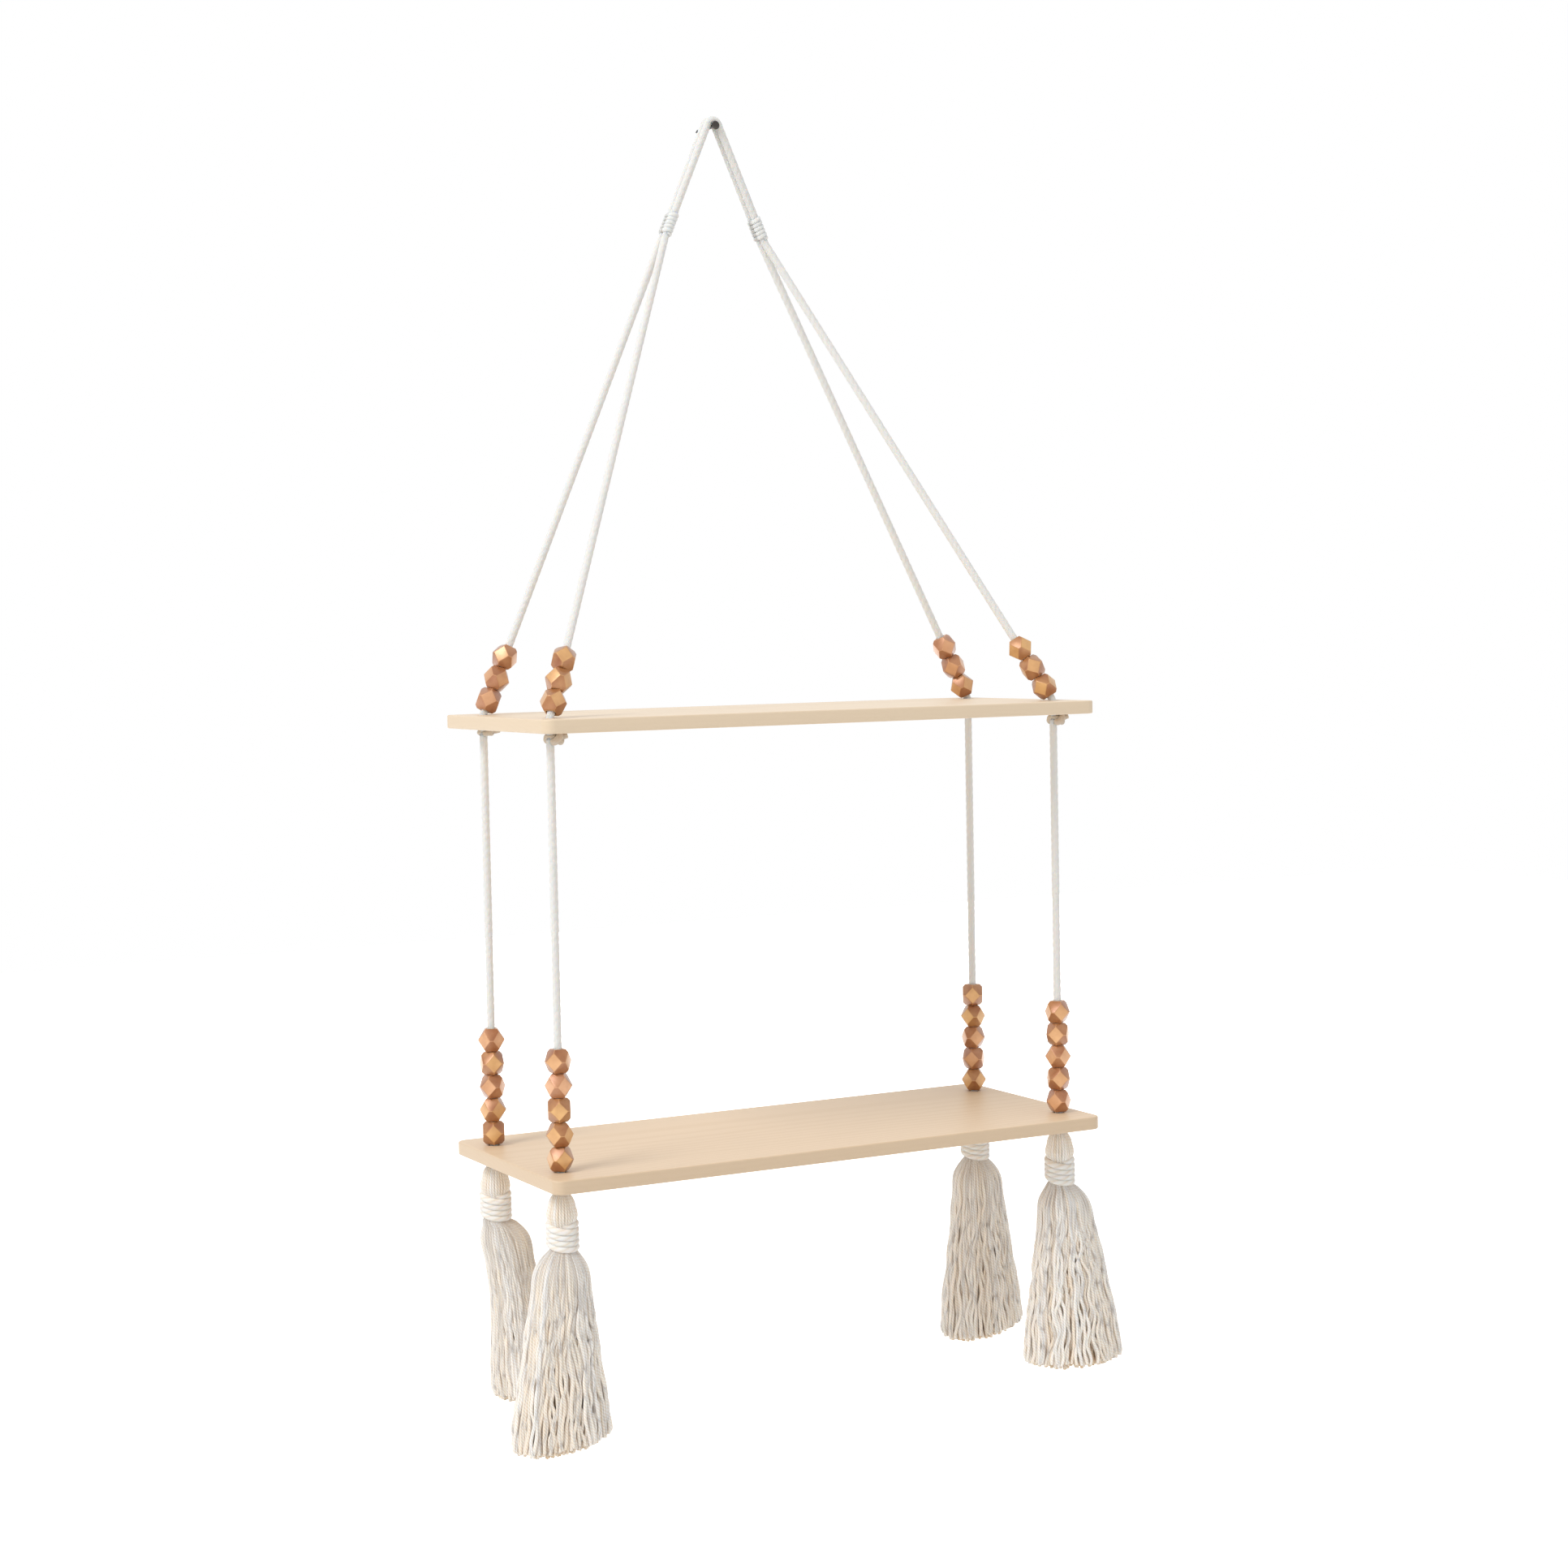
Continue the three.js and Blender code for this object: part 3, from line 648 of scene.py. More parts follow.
@dataclass
class Boards:
    """The two wooden boards, with rounded corners, eased edges and four drilled rope holes each."""

    palette: Palette
    corner_radius: float = 8 * MM
    corner_steps: int = 14
    edge_ease: float = 1.1 * MM
    edge_steps: int = 3
    edge_tone: float = 0.75  # how much of the side colour, which is partly painted shade, an upright face takes
    hole_diameter: float = 8.5 * MM
    hole_steps: int = 40

    def build(self) -> None:
        """Makes both boards in the places of their nodes."""
        self.board("upper_board", "hanger", self.palette.upper_wood)
        self.board("lower_board", "lower_tier", self.palette.lower_wood)
        LOG.info("boards: 2 pieces")

    def board(self, node: str, body: str, wood: Material) -> None:
        """One board as a filled outline with holes, thickened and with rounded edges.

        Args:
            node: the CAD node whose box gives the board's size.
            body: the body that carries it.
            wood: its finish.
        """
        low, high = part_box(node)
        middle = (low + high) / 2
        half = (high - low) / 2
        curve = bpy.data.curves.new(node, "CURVE")
        curve.dimensions = "2D"
        curve.fill_mode = "BOTH"
        curve.extrude = half.z - self.edge_ease
        curve.bevel_depth = self.edge_ease
        curve.bevel_resolution = self.edge_steps
        curve.offset = -self.edge_ease
        self.spline(curve, self.outline(half.x, half.y))
        for corner in Corner:
            hole = hole_place(corner)
            self.spline(curve, self.hole(hole.x - middle.x, hole.y - middle.y))
        mesh = evaluated_mesh(link_object(node, curve), f"{node}_wood")
        mesh.materials.clear()
        mesh.transform(Matrix.Translation(middle))
        # upright faces get the side colour, partly painted shade; the top and the underside keep the planed
        # wood
        set_face_value(mesh, "sawn_edge_and_shade", [self.edge_tone * (1 - f.normal.z**2) for f in mesh.polygons])
        place_piece(mesh, wood, node, "wood", body, crease_degrees=40)

    def outline(self, half_x: float, half_y: float) -> list[tuple[float, float]]:
        """The board's rounded outline, anticlockwise."""
        radius = self.corner_radius
        points = []
        for k, (sx, sy) in enumerate(((1, -1), (1, 1), (-1, 1), (-1, -1))):
            for i in range(self.corner_steps + 1):
                angle = (k - 1 + i / self.corner_steps) * math.pi / 2
                x = sx * (half_x - radius) + radius * math.cos(angle)
                y = sy * (half_y - radius) + radius * math.sin(angle)
                points.append((x, y))
        return points

    def hole(self, x: float, y: float) -> list[tuple[float, float]]:
        """A drilled hole, clockwise."""
        radius = self.hole_diameter / 2
        angles = [-i / self.hole_steps * math.tau for i in range(self.hole_steps)]
        return [(x + radius * math.cos(a), y + radius * math.sin(a)) for a in angles]

    @staticmethod
    def spline(curve: Curve, points: list[tuple[float, float]]) -> None:
        """Adds a closed outline to a flat curve."""
        spline = curve.splines.new("POLY")
        spline.points.add(len(points) - 1)
        for point, (x, y) in zip(spline.points, points):
            point.co = (x, y, 0, 1)
        spline.use_cyclic_u = True


@dataclass
class Nail:
    """The wall nail: a point, a shank and a slightly domed head in front of the ropes."""

    palette: Palette
    diameter: float = 3 * MM
    head_diameter: float = 6.5 * MM
    head_thickness: float = 1.6 * MM
    dome_share: float = 0.35  # the scale of the dome's rise, as a share of the head's thickness
    point_length: float = 5 * MM
    steps: int = 48

    def build(self) -> None:
        """Turns the nail about the Y axis in the place of its node."""
        low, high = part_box("wall_nail")
        shank = self.diameter / 2
        head = self.head_diameter / 2
        thick = self.head_thickness
        front = low.y
        rim = thick * self.dome_share
        profile = [
            (0.0, front),
            (head * 0.5, front + rim * 0.2),
            (head * 0.85, front + rim * 0.7),
            (head, front + rim * 1.4),
            (head, front + thick * 0.85),
            (head * 0.94, front + thick),
            (shank * 1.25, front + thick),
            (shank, front + thick * 1.4),
            (shank, high.y - self.point_length),
            (0.0, high.y),
        ]
        work = bmesh.new()
        ring = [work.verts.new((radius, y, 0)) for radius, y in profile]
        lines = [work.edges.new(pair) for pair in zip(ring, ring[1:])]
        turn = {"cent": (0, 0, 0), "axis": (0, 1, 0), "angle": math.tau, "steps": self.steps}
        bmesh.ops.spin(work, geom=ring + lines, **turn)
        bmesh.ops.remove_doubles(work, verts=work.verts, dist=MM / 100)
        bmesh.ops.recalc_face_normals(work, faces=work.faces)
        mesh = mesh_from(work, "wall_nail_steel")
        place_piece(mesh, self.palette.nail, "wall_nail", "steel", "nail", crease_degrees=40)
        LOG.info("nail: 1 piece")


@dataclass
class HangingRopes:
    """The twisted ropes: two long ones over the nail and four upright ones between the boards."""

    palette: Palette
    diameter: float = 6 * MM
    spacing: float = 0.3 * MM
    lay: Lay = Lay(30, 3, 0.08, 19 * MM)
    step: float = 1.5 * MM
    junction_drop: float = 88 * MM
    junction_half_span: float = 43.5 * MM
    hole_bend: float = 12 * MM
    junction_bend: float = 14 * MM
    nail_diameter: float = 3 * MM
    nail_gap: float = 0.3 * MM
    knot_overlap: float = 5 * MM  # how far a rope runs on inside a knot
    end_knot_share: float = 0.6  # of that, how far it does in an end knot

    @property
    def nail_wrap(self) -> float:
        """The radius of the rope's middle where it turns over the nail."""
        return self.nail_diameter / 2 + self.nail_gap + self.diameter / 2

    @property
    def lean(self) -> float:
        """The angle from upright at which the ropes reach the nail."""
        distance = math.hypot(self.junction_half_span, self.junction_drop)
        return math.atan2(self.junction_half_span, self.junction_drop) - math.asin(self.nail_wrap / distance)

    def lane(self, row: str) -> float:
        """How far forward the rope of a row lies where both ropes run side by side."""
        low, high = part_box("left_rope_whipping")
        middle = (low.y + high.y) / 2
        half_step = (self.diameter + self.spacing) / 2
        return middle + (half_step if row == "rear" else -half_step)

    def junction(self, side: int, lane: float) -> Vector:
        """Where the rope of a lane leaves its neighbour, on the left (-1) or the right (1)."""
        return Vector((side * self.junction_half_span, lane, -self.junction_drop))

    def build(self) -> None:
        """Makes all six ropes."""
        for row in ("front", "rear"):
            self.upper(row)
        for corner in Corner:
            self.lower(corner)
        LOG.info("ropes: 6 pieces")

    def upper(self, row: str) -> None:
        """One long rope from hole to hole over the nail.

        Args:
            row: front or rear.
        """
        low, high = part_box("upper_board")
        left = hole_place(Corner(f"{row}_left"))
        right = hole_place(Corner(f"{row}_right"))
        lane = self.lane(row)
        peak = self.nail_wrap / math.sin(self.lean)
        foot = low.z - self.knot_overlap
        route = [
            Vector((left.x, left.y, foot)),
            Vector((left.x, left.y, high.z)),
            self.junction(-1, lane),
            Vector((0, lane, peak)),
            self.junction(1, lane),
            Vector((right.x, right.y, high.z)),
            Vector((right.x, right.y, foot)),
        ]
        bends = [self.hole_bend, self.junction_bend, self.nail_wrap, self.junction_bend, self.hole_bend]
        self.rope(f"{row}_upper_rope", "hanger", route, bends)

    def lower(self, corner: Corner) -> None:
        """One upright rope, from inside its stop knot to inside its end knot."""
        node = f"{corner.value}_lower_rope"
        top = hole_place(corner)
        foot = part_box(node)[0].z - self.knot_overlap * self.end_knot_share
        route = [top + UP * self.knot_overlap, Vector((top.x, top.y, foot))]
        self.rope(node, f"{corner.value}_rope", route, [])

    def rope(self, node: str, body: str, route: list[Vector], bends: list[float]) -> None:
        """One rope.

        Args:
            node: the CAD node that it replaces.
            body: the body that carries it.
            route: the corners of its middle line.
            bends: the radius at each inner corner.
        """
        path = rounded_route(route, bends, self.step)
        cord = MeshMaker().tube(path, self.diameter / 2, self.lay)
        place_piece(cord.mesh(f"{node}_twisted"), self.palette.rope, node, "twisted", body)


@dataclass(frozen=True)
class KnotForm:
    """How one kind of knot fills the box of its node."""

    rope: float
    width_share: float
    height_share: float
    tail: bool


@dataclass
class Knots:
    """Overhand knots drawn tight: stop knots under the upper board and end knots in the tassel heads."""

    palette: Palette
    front_stop: KnotForm = KnotForm(5.4 * MM, 0.94, 1.0, True)
    rear_stop: KnotForm = KnotForm(4.2 * MM, 0.8, 0.62, True)
    end: KnotForm = KnotForm(4.0 * MM, 0.88, 0.7, False)
    body_shift: float = 0.4 * MM
    tail_taper: float = 0.8
    tail_swing: float = 1.5 * MM  # how far forward the tail's end lies
    tail_steps: int = 12
    lay: Lay = Lay(24, 3, 0.08, 15 * MM)
    steps: int = 150

    def build(self) -> None:
        """Makes the eight knots in the boxes of their nodes."""
        for corner in Corner:
            stop = self.front_stop if corner.value.startswith("front") else self.rear_stop
            self.knot(f"{corner.value}_stop_knot", "hanger", stop)
            self.knot(f"{corner.value}_end_knot", "lower_tier", self.end)
        LOG.info("knots: 8 pieces")

    def knot(self, node: str, body: str, form: KnotForm) -> None:
        """One knot: a three-lobed loop against the top of its node's box, and the rope's cut tail.

        Args:
            node: the CAD node whose box it fills.
            body: the body that carries it.
            form: the knot's rope, its share of the box and whether a tail shows.
        """
        low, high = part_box(node)
        low.z = high.z + (low.z - high.z) * form.height_share
        middle = (low + high) / 2
        half = (high - low) / 2
        lobes = half.x * form.width_share
        if form.tail:
            middle.x = low.x + lobes + self.body_shift
        turn = np.linspace(0, math.tau, self.steps)
        reach = (lobes - form.rope / 2) / 3
        rise = half.z - form.rope / 2
        x = middle.x + reach * (np.sin(turn) + 2 * np.sin(2 * turn))
        y = middle.y + reach * (np.cos(turn) - 2 * np.cos(2 * turn))
        z = middle.z - rise * np.sin(3 * turn)
        maker = MeshMaker().tube(np.stack([x, y, z], axis=1), form.rope / 2, self.lay)
        if form.tail:
            share = np.linspace(0, 1, self.tail_steps)
            slim = form.rope / 2 * (1 - (1 - self.tail_taper) * share)
            x = middle.x + (high.x - middle.x) * share
            y = middle.y - self.tail_swing * share
            z = middle.z + (high.z - form.rope * self.tail_taper / 2 - middle.z) * share
            maker.tube(np.stack([x, y, z], axis=1), slim, self.lay)
        place_piece(maker.mesh(f"{node}_tied"), self.palette.knotted, node, "tied", body)


@dataclass(frozen=True)
class Winding:
    """A cord wound round a bundle, with both ends tucked in."""

    cord: float  # drawn thick, so that the turns close up over the bundle
    turns: int
    pitch: float
    steps_per_turn: int
    lay: Lay
    tuck_turns: float = 0.3

    def stations(self, reach: float) -> tuple[np.ndarray, np.ndarray]:
        """Where the winding goes.

        Args:
            reach: the distance from the bundle's middle to the cord's.

        Returns:
            The count of turns at every station, and the distance there, less where the ends tuck in.
        """
        count = int((self.turns + 2 * self.tuck_turns) * self.steps_per_turn) + 1
        turns = np.linspace(-self.tuck_turns, self.turns + self.tuck_turns, count)
        beyond = np.maximum(0, np.maximum(-turns, turns - self.turns)) / self.tuck_turns
        return turns, reach - beyond**2 * self.cord / 2

    def place(self, path: np.ndarray, material: Material, node: str, body: str, slot: str) -> None:
        """Makes the cord along its path and puts it in the place of its node."""
        cord = MeshMaker().tube(path, self.cord / 2, self.lay)
        place_piece(cord.mesh(f"{node}_wound"), material, node, "wound", body)


@dataclass
class Whippings:
    """The thin cords that tie the front and rear rope of each side together."""

    palette: Palette
    ropes: HangingRopes
    winding: Winding = Winding(4.4 * MM, 5, 3.15 * MM, 44, Lay(16, 2, 0.03, 8 * MM))
    stand_out: float = 1.3 * MM
    start_above: float = 4 * MM
    crossing: float = 6  # how quickly a turn crosses from one rope to the other

    def build(self) -> None:
        """Makes the left and the right whipping."""
        self.whipping("left_rope_whipping", -1)
        self.whipping("right_rope_whipping", 1)
        LOG.info("whippings: 2 pieces")

    def whipping(self, node: str, side: int) -> None:
        """One winding round both ropes.

        Args:
            node: the CAD node that it replaces.
            side: -1 on the left and 1 on the right.
        """
        rope = self.ropes
        half_step = (rope.diameter + rope.spacing) / 2
        lane = (rope.lane("front") + rope.lane("rear")) / 2
        upward = Vector((-side * math.sin(rope.lean), 0, math.cos(rope.lean)))
        outward = Vector((math.cos(rope.lean), 0, side * math.sin(rope.lean)))
        start = rope.junction(side, lane) + upward * self.start_above
        winding = self.winding
        turns, radius = winding.stations((rope.diameter - winding.cord) / 2 + self.stand_out)
        angle = turns * math.tau
        shift = np.tanh(np.sin(angle) * self.crossing) * half_step
        height = np.clip(turns, 0, winding.turns) * winding.pitch
        local = np.stack([radius * np.cos(angle), radius * np.sin(angle) + shift, height], axis=1)
        path = local @ np.array([outward, Vector((0, 1, 0)), upward]) + np.array(start)
        winding.place(path, self.palette.thin_cord, node, "hanger", "rope")


@dataclass
class Beads:
    """The faceted beads: a cube with its eight corners cut deep, edges just broken, and a bore."""

    palette: Palette
    height: float = 17.2 * MM
    width: float = 16 * MM
    corner_width: float = 20 * MM
    bore: float = 6.9 * MM
    bore_steps: int = 32
    edge: float = 0.4 * MM
    edge_steps: int = 3
    turn_degrees: float = 34
    upper_count: int = 3
    lower_count: int = 5
    seed: int = 5

    def build(self) -> None:
        """Makes every bead from one master shape, at the place and turn of its node."""
        master = self.master_mesh()
        rng = random.Random(self.seed)
        made = 0
        for index, corner in enumerate(Corner):
            for tier, count in (("upper", self.upper_count), ("lower", self.lower_count)):
                stack = f"{corner.value}_{tier}_bead"
                lean = UP.rotation_difference(box_middle(f"{stack}_{count}") - box_middle(f"{stack}_1"))
                for i in range(count):
                    node = f"{stack}_{i + 1}"
                    turn = Quaternion(UP, math.radians((index + i) * self.turn_degrees))
                    mesh = master.copy()
                    mesh.transform(Matrix.Translation(box_middle(node)) @ (lean @ turn).to_matrix().to_4x4())
                    set_face_value(mesh, "gold_share", [rng.random()] * len(mesh.polygons))
                    place_piece(mesh, self.palette.beads, node, "painted", node, crease_degrees=20)
                    made += 1
        LOG.info("beads: %d pieces", made)

    def master_mesh(self) -> Mesh:
        """The bead at the origin, bored along Z, with its edges and its bore's lips bevelled."""
        work = bmesh.new()
        half = self.width / 2
        spread = self.corner_width / math.sqrt(2) - half
        tall = self.height / self.width
        for axis, a, other, b in itertools.product(range(3), (-half, half), (1, 2), (-spread, spread)):
            place = [0.0, 0.0, 0.0]
            place[axis] = a
            place[(axis + other) % 3] = b
            place[2] *= tall
            work.verts.new(place)
        bmesh.ops.convex_hull(work, input=work.verts)
        bmesh.ops.dissolve_limit(work, angle_limit=math.radians(1), verts=work.verts, edges=work.edges)
        bmesh.ops.recalc_face_normals(work, faces=work.faces)
        blank = link_object("bead_blank", mesh_from(work, "bead_blank"))
        work = bmesh.new()
        radii = {"radius1": self.bore / 2, "radius2": self.bore / 2}
        bmesh.ops.create_cone(work, cap_ends=True, segments=self.bore_steps, depth=2 * self.height, **radii)
        drill = link_object("bead_drill", mesh_from(work, "bead_drill"))
        cut = blank.modifiers.new("bore", "BOOLEAN")
        cut.object = drill
        cut.operation = "DIFFERENCE"
        cut.solver = "EXACT"
        ease = blank.modifiers.new("broken_edges", "BEVEL")
        ease.width = self.edge
        ease.segments = self.edge_steps
        ease.limit_method = "ANGLE"
        ease.angle_limit = math.radians(25)
        master = evaluated_mesh(blank, "bead")
        bpy.data.objects.remove(drill)
        full = math.sqrt(27)  # makes the value 1 on a face that looks equally along all three axes
        set_face_value(master, "end_grain", [abs(full * math.prod(f.normal)) for f in master.polygons])
        return master


@dataclass(frozen=True)
class YarnLayer:
    """One layer of a tassel's yarns."""

    count: int
    depth_share: float  # distance from the middle, as a share of the outline
    stations: int
    sides: int
    thickness: float = 1.0  # as a share of the outer yarns'
    on_head: bool = False


@dataclass(frozen=True)
class TasselHang:
    """How one tassel hangs in the photograph."""

    length_mm: float  # from the underside of the board to the longest cut end
    width_share: float = 1.0
    lean_mm: float = 0.0  # how far to the right the cut ends lie
    slant_mm: float = 0.0  # how much lower the cut lies on the left than on the right


@dataclass
class Tassels:
    """Four tassels of loose cotton yarn, each with a head round the end knot, a binding and a flared skirt.

    Drops are measured from the knot's middle. Where a reach or a length has two numbers, one in between is
    drawn for each yarn or layer.
    """

    palette: Palette
    hangs: dict[Corner, TasselHang] = field(
        default_factory=lambda: {
            Corner.FRONT_LEFT: TasselHang(192, 1.04, -4, 8),
            Corner.FRONT_RIGHT: TasselHang(190, 1.18, 10, 0),
            Corner.REAR_LEFT: TasselHang(185, 0.74, 22, 0),
            Corner.REAR_RIGHT: TasselHang(196, 1.0, 4, 10),
        }
    )
    layers: tuple[YarnLayer, ...] = (
        YarnLayer(30, 1.0, 38, 6, on_head=True),
        YarnLayer(60, 0.985, 38, 6),
        YarnLayer(78, 0.93, 32, 5),
        YarnLayer(64, 0.83, 20, 5, thickness=1.2),
        YarnLayer(52, 0.66, 14, 5, thickness=1.5),
        YarnLayer(30, 0.42, 12, 5, thickness=1.8),
    )
    knot_depth: float = 3.6 * MM  # from the knot's top to its middle
    head_yarn: float = 2.35 * MM
    skirt_yarn: float = 2.6 * MM
    skirt_depth_share: float = 0.82
    binding_winding: Winding = Winding(5.6 * MM, 4, 4.05 * MM, 48, Lay(16, 2, 0.03, 11 * MM))
    binding_bite: float = 3.2 * MM
    binding_slant: float = 2.2 * MM
    binding_drop: float = 22.9 * MM
    neck_diameter: float = 19.4 * MM
    neck_foot_mm: float = 43.0
    loose_mm: float = 55.0  # how far below the neck the yarns hang wholly free
    flat_mm: float = 70.0  # how far below the neck the skirt has its full flatness
    gather_mm: tuple[float, float] = (20.0, 65.0)  # between these drops a layer sinks to its depth
    bow_mm: float = 1.2  # how much higher the middle stations of a skirt lie than in even steps
    uneven_mm: float = 5.0  # how much the cut ends differ, by the two shares below
    uneven_shares: tuple[float, float] = (0.6, 1.1)  # by chance, and by how far out a yarn lies
    layer_depth: float = 0.965  # how far in a yarn may lie within its layer, as a share
    head_jitter: float = 0.12  # how far a yarn may lie beside its place, as a share of the step
    inner_jitter: float = 0.4
    lock_jitter: float = 0.3
    lock_count: int = 26
    lock_rise_mm: float = 2.4  # how far the yarns of one lock may lie further in than those of another
    lock_shade: float = 0.34
    lump_share: float = 0.07  # how much a yarn's thickness comes and goes
    lump_mm: float = 7.0
    end_taper: float = 0.85
    depth_shade: float = 2.4
    own_shade: float = 0.15
    sway_waves: tuple[int, ...] = (2, 3, 5, 8, 13)  # waves round the tassel that neighbours share
    sway_reach_mm: tuple[float, float] = (0.35, 1.0)
    sway_length_mm: tuple[float, float] = (26, 80)
    ripple_length_mm: tuple[float, float] = (16, 40)
    ripple_reach_mm: tuple[float, float] = (0.0, 0.8)
    wander_reach_mm: tuple[float, float] = (0.3, 1.0)
    wander_length_mm: tuple[float, float] = (17, 36)
    seed: int = 11

    # Drops of the stations on a head, and of those between the head and the skirt
    head_mm: tuple[float, ...] = (0.6, 1.8, 3.4, 5.4, 8.0, 11.5, 14.5, 17.0, 19.0, 21.0, 23.0)
    inner_start_mm: tuple[float, ...] = (26.0,)
    neck_mm: tuple[float, ...] = (32.0, 40.0)

    # Drop and radius of the outside
    outline_mm: tuple[tuple[float, float], ...] = (
        (0.6, 5.6), (2.8, 6.6), (6.0, 8.8), (12.0, 10.3), (16.5, 11.4), (19.0, 11.0), (22.5, 9.7),
        (42.0, 9.7), (46.0, 13.4), (52.0, 18.0), (75.0, 22.6), (122.0, 29.5), (165.0, 36.0), (196.0, 37.8),
    )

    def build(self) -> None:
        """Makes the yarns and the binding of every tassel."""
        for index, (corner, hang) in enumerate(self.hangs.items()):
            low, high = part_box(f"{corner.value}_end_knot")
            knot = Vector(((low.x + high.x) / 2, (low.y + high.y) / 2, high.z - self.knot_depth))
            self.yarns(corner, knot, hang, random.Random(self.seed + index))
            self.binding(corner, knot)
        LOG.info("tassels: 4 bundles and 4 bindings")

    def yarns(self, corner: Corner, knot: Vector, hang: TasselHang, rng: random.Random) -> None:
        """The yarns of one tassel, as one piece.

        Args:
            corner: the tassel's corner.
            knot: the middle of its end knot.
            hang: how it hangs.
            rng: gives each yarn its place, wander and cut.
        """
        maker = MeshMaker()
        locks = [rng.random() for _ in range(self.lock_count)]
        for layer in self.layers:
            spans = (self.sway_reach_mm, self.sway_length_mm, (0, math.tau))
            sways = [(k, *(rng.uniform(*span) for span in spans)) for k in self.sway_waves]
            jitter = self.head_jitter if layer.on_head else self.inner_jitter
            for i in range(layer.count):
                share = (i + rng.uniform(-jitter, jitter)) / layer.count
                beside = rng.uniform(-self.lock_jitter, self.lock_jitter)
                lock = locks[int(share * self.lock_count + beside) % self.lock_count]
                self.yarn(maker, knot, hang, layer, share, lock, sways, rng)
        node = f"{corner.value}_tassel"
        place_piece(maker.mesh(f"{node}_yarns"), self.palette.yarn, node, "yarns", node)

    def yarn(
        self,
        maker: MeshMaker,
        knot: Vector,
        hang: TasselHang,
        layer: YarnLayer,
        share: float,
        lock: float,
        sways: list[tuple[int, float, float, float]],
        rng: random.Random,
    ) -> None:
        """One yarn from the head, or from inside the neck, to its cut end.

        Args:
            maker: the tassel's mesh.
            knot: the middle of the end knot.
            hang: how the tassel hangs.
            layer: the layer that the yarn lies in.
            share: the yarn's place round the tassel, as a share of a turn.
            lock: how far in the yarn's lock lies, and so how much painted shade it gets, from 0 to 1.
            sways: waves that neighbours share: waves per turn, reach and length in millimetres, and phase.
            rng: gives the yarn its wander and cut.
        """
        angle = share * math.tau
        depth = layer.depth_share * rng.uniform(self.layer_depth, 1.0)
        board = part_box("lower_board")[0].z
        length = hang.length_mm - (board - knot.z) / MM - hang.slant_mm * (1 + math.cos(angle)) / 2
        chance, outer = self.uneven_shares
        cut = length - self.uneven_mm * (rng.uniform(0, chance) + outer * depth**6)
        spread = np.linspace(0, 1, layer.stations)
        bow = self.bow_mm * np.sin(math.pi * spread)
        skirt = self.neck_foot_mm + (cut - self.neck_foot_mm) * spread - bow
        start = self.head_mm if layer.on_head else self.inner_start_mm
        drop = np.concatenate([start, self.neck_mm, skirt])
        below = np.maximum(drop - self.neck_foot_mm, 0)
        loose = np.minimum(below / self.loose_mm, 1)
        radius = curve_through(np.minimum(drop, self.outline_mm[-1][0]), self.outline_mm)
        thick = (self.head_yarn + (self.skirt_yarn * layer.thickness - self.head_yarn) * loose) / 2
        top, foot = self.gather_mm
        depths = 1 - (1 - depth) * np.clip((drop - top) / (foot - top), 0, 1)
        ripple = np.sin(drop / rng.uniform(*self.ripple_length_mm) * math.tau)
        ripple = ripple * rng.uniform(*self.ripple_reach_mm) * MM * loose
        sunk = self.lock_rise_mm * MM * lock * loose
        reach = np.maximum(radius * MM - thick - sunk, 0) * depths + ripple
        along = sum(size * np.sin(k * angle + drop / wave * math.tau + turn) for k, size, wave, turn in sways)
        phase = rng.uniform(0, math.tau)
        wander = rng.uniform(*self.wander_reach_mm)
        own = wander * np.sin(drop / rng.uniform(*self.wander_length_mm) * math.tau + phase)
        shift = (along + own) * MM * loose
        wide = 1 + (hang.width_share - 1) * loose
        flat = 1 - np.minimum(below / self.flat_mm, 1) * (1 - self.skirt_depth_share)
        lean = hang.lean_mm * MM * np.sqrt(below / (length - self.neck_foot_mm))
        x = (reach * math.cos(angle) - shift * math.sin(angle)) * wide + lean
        y = (reach * math.sin(angle) + shift * math.cos(angle)) * flat
        path = np.stack([knot.x + x, knot.y + y, knot.z - drop * MM], axis=1)
        radii = thick * (1 + self.lump_share * np.sin(drop / self.lump_mm + phase))
        radii[-1] *= self.end_taper
        # painted shade: yarns of inner layers and of locks that lie further in are darker; a random tone per
        # yarn comes on top
        shade = rng.uniform(0, self.own_shade) + self.lock_shade * lock
        shade += (1 - layer.depth_share) * self.depth_shade
        maker.tube(path, radii, Lay(layer.sides), min(shade, 1.0))

    def binding(self, corner: Corner, knot: Vector) -> None:
        """The yarn wound aslant round one neck.

        Args:
            corner: the tassel's corner.
            knot: the middle of its end knot.
        """
        winding = self.binding_winding
        turns, radius = winding.stations((self.neck_diameter + winding.cord) / 2 - self.binding_bite)
        angle = turns * math.tau
        z = knot.z - self.binding_drop - winding.pitch * turns + self.binding_slant * np.sin(angle)
        path = np.stack([knot.x + radius * np.cos(angle), knot.y + radius * np.sin(angle), z], axis=1)
        node = f"{corner.value}_tassel_binding"
        winding.place(path, self.palette.yarn, node, f"{corner.value}_tassel", "yarn")


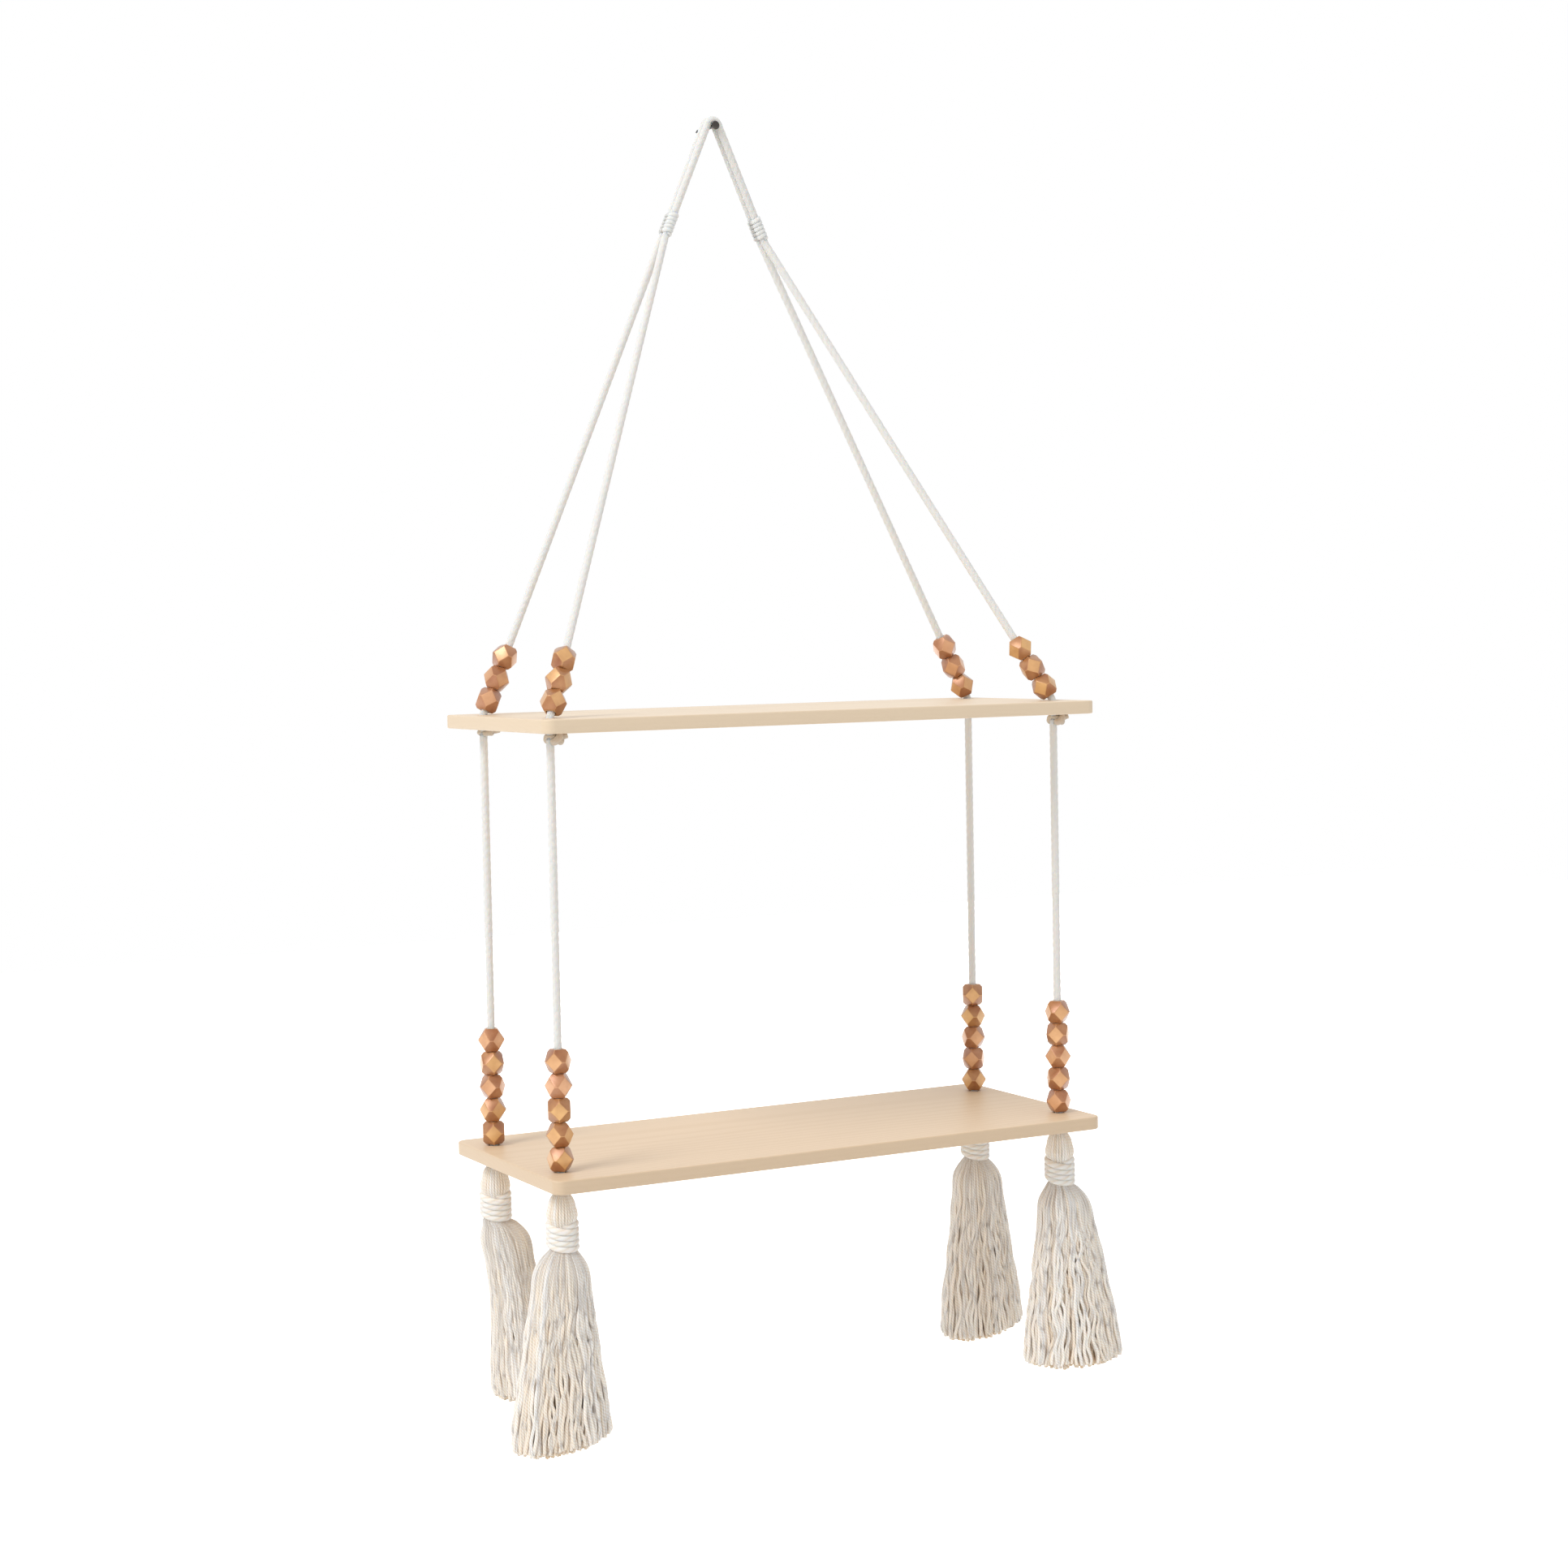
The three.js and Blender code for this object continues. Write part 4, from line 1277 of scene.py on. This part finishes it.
@dataclass
class Studio:
    """A white room for the shelf: floor, plain sky, soft lamps and the camera of the photograph."""

    camera_place: tuple[float, float, float] = (-0.98447, -1.94362, -0.3908)
    camera_turn_degrees: tuple[float, float, float] = (28.21, -3.21, -1.121)  # yaw, pitch and roll
    camera_clip: float = 0.05
    focal_length_px: float = 3400
    image_width_px: float = 1932
    sensor_mm: float = 36
    floor_below: float = 0.35
    floor_size: float = 12.0
    sky_fill: float = 0.76

    def build(self) -> None:
        """Makes everything that isn't part of the shelf."""
        bpy.context.scene.view_settings.view_transform = "Standard"
        self.camera()
        self.sky()
        self.floor()
        self.lamp("key_softbox", (-7.2, -2.0, 7.4), size=3.8, power=495)
        self.lamp("side_fill", (-1.9, -1.6, -1.2), size=1.6, power=7)
        LOG.info("studio: camera, sky, floor and lamps")

    def camera(self) -> None:
        """Sets the camera where the photograph was taken from."""
        yaw, pitch, roll = (math.radians(turn) for turn in self.camera_turn_degrees)
        forward = Vector((math.sin(yaw) * math.cos(pitch), math.cos(yaw) * math.cos(pitch), math.sin(pitch)))
        level = Vector((math.cos(yaw), -math.sin(yaw), 0))
        above = level.cross(forward)
        right = level * math.cos(roll) + above * math.sin(roll)
        top = above * math.cos(roll) - level * math.sin(roll)
        data = bpy.data.cameras.new("camera")
        data.sensor_width = self.sensor_mm
        data.lens = self.focal_length_px * self.sensor_mm / self.image_width_px
        data.clip_start = self.camera_clip
        camera = link_object("camera", data)
        turn = Matrix((right, top, -forward)).transposed().to_4x4()
        camera.matrix_world = Matrix.Translation(Vector(self.camera_place)) @ turn
        bpy.context.scene.camera = camera

    def sky(self) -> None:
        """White to the camera and in reflections, and a soft grey fill for everything else."""
        world = bpy.data.worlds.new("white_room")
        world.use_nodes = True
        bpy.context.scene.world = world
        tree = world.node_tree
        tree.nodes.clear()
        ray = add_node(tree, "LightPath").outputs
        direct = add_node(tree, "Math", [ray["Is Camera Ray"], ray["Is Glossy Ray"]], operation="MAXIMUM")
        seen = add_node(tree, "Math", [direct, ray["Is Transmission Ray"]], operation="MAXIMUM")
        strength = add_node(tree, "MapRange", {"Value": seen, "To Min": self.sky_fill})
        glow = add_node(tree, "Background", {"Color": WHITE, "Strength": strength})
        add_node(tree, "OutputWorld", [glow])

    def floor(self) -> None:
        """A pale floor well below the shelf."""
        half = self.floor_size / 2
        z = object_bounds()[0].z - self.floor_below
        mesh = bpy.data.meshes.new("floor")
        corners = [(-half, -half, z), (half, -half, z), (half, half, z), (-half, half, z)]
        mesh.from_pydata(corners, [], [(0, 1, 2, 3)])
        mesh.materials.append(FloorPaint().material())
        link_object("floor", mesh)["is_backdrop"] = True

    @staticmethod
    def lamp(name: str, offset: tuple[float, float, float], size: float, power: float) -> None:
        """A square soft lamp that looks at the middle of the shelf.

        Args:
            name: the lamp's name.
            offset: its place from the middle of the shelf.
            size: the length of its side.
            power: its power in watts.
        """
        low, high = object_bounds()
        data = bpy.data.lights.new(name, "AREA")
        data.size = size
        data.energy = power
        lamp = link_object(name, data)
        lamp.location = (low + high) / 2 + Vector(offset)
        lamp.rotation_euler = (-Vector(offset)).to_track_quat("-Z", "Y").to_euler()


def main() -> None:
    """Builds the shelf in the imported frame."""
    logging.basicConfig(level=logging.INFO, format="%(message)s")
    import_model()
    palette = Palette.mixed()
    ropes = HangingRopes(palette)
    Boards(palette).build()
    Nail(palette).build()
    ropes.build()
    Knots(palette).build()
    Whippings(palette, ropes).build()
    Beads(palette).build()
    Tassels(palette).build()
    Studio().build()


if __name__ == "__main__":
    main()
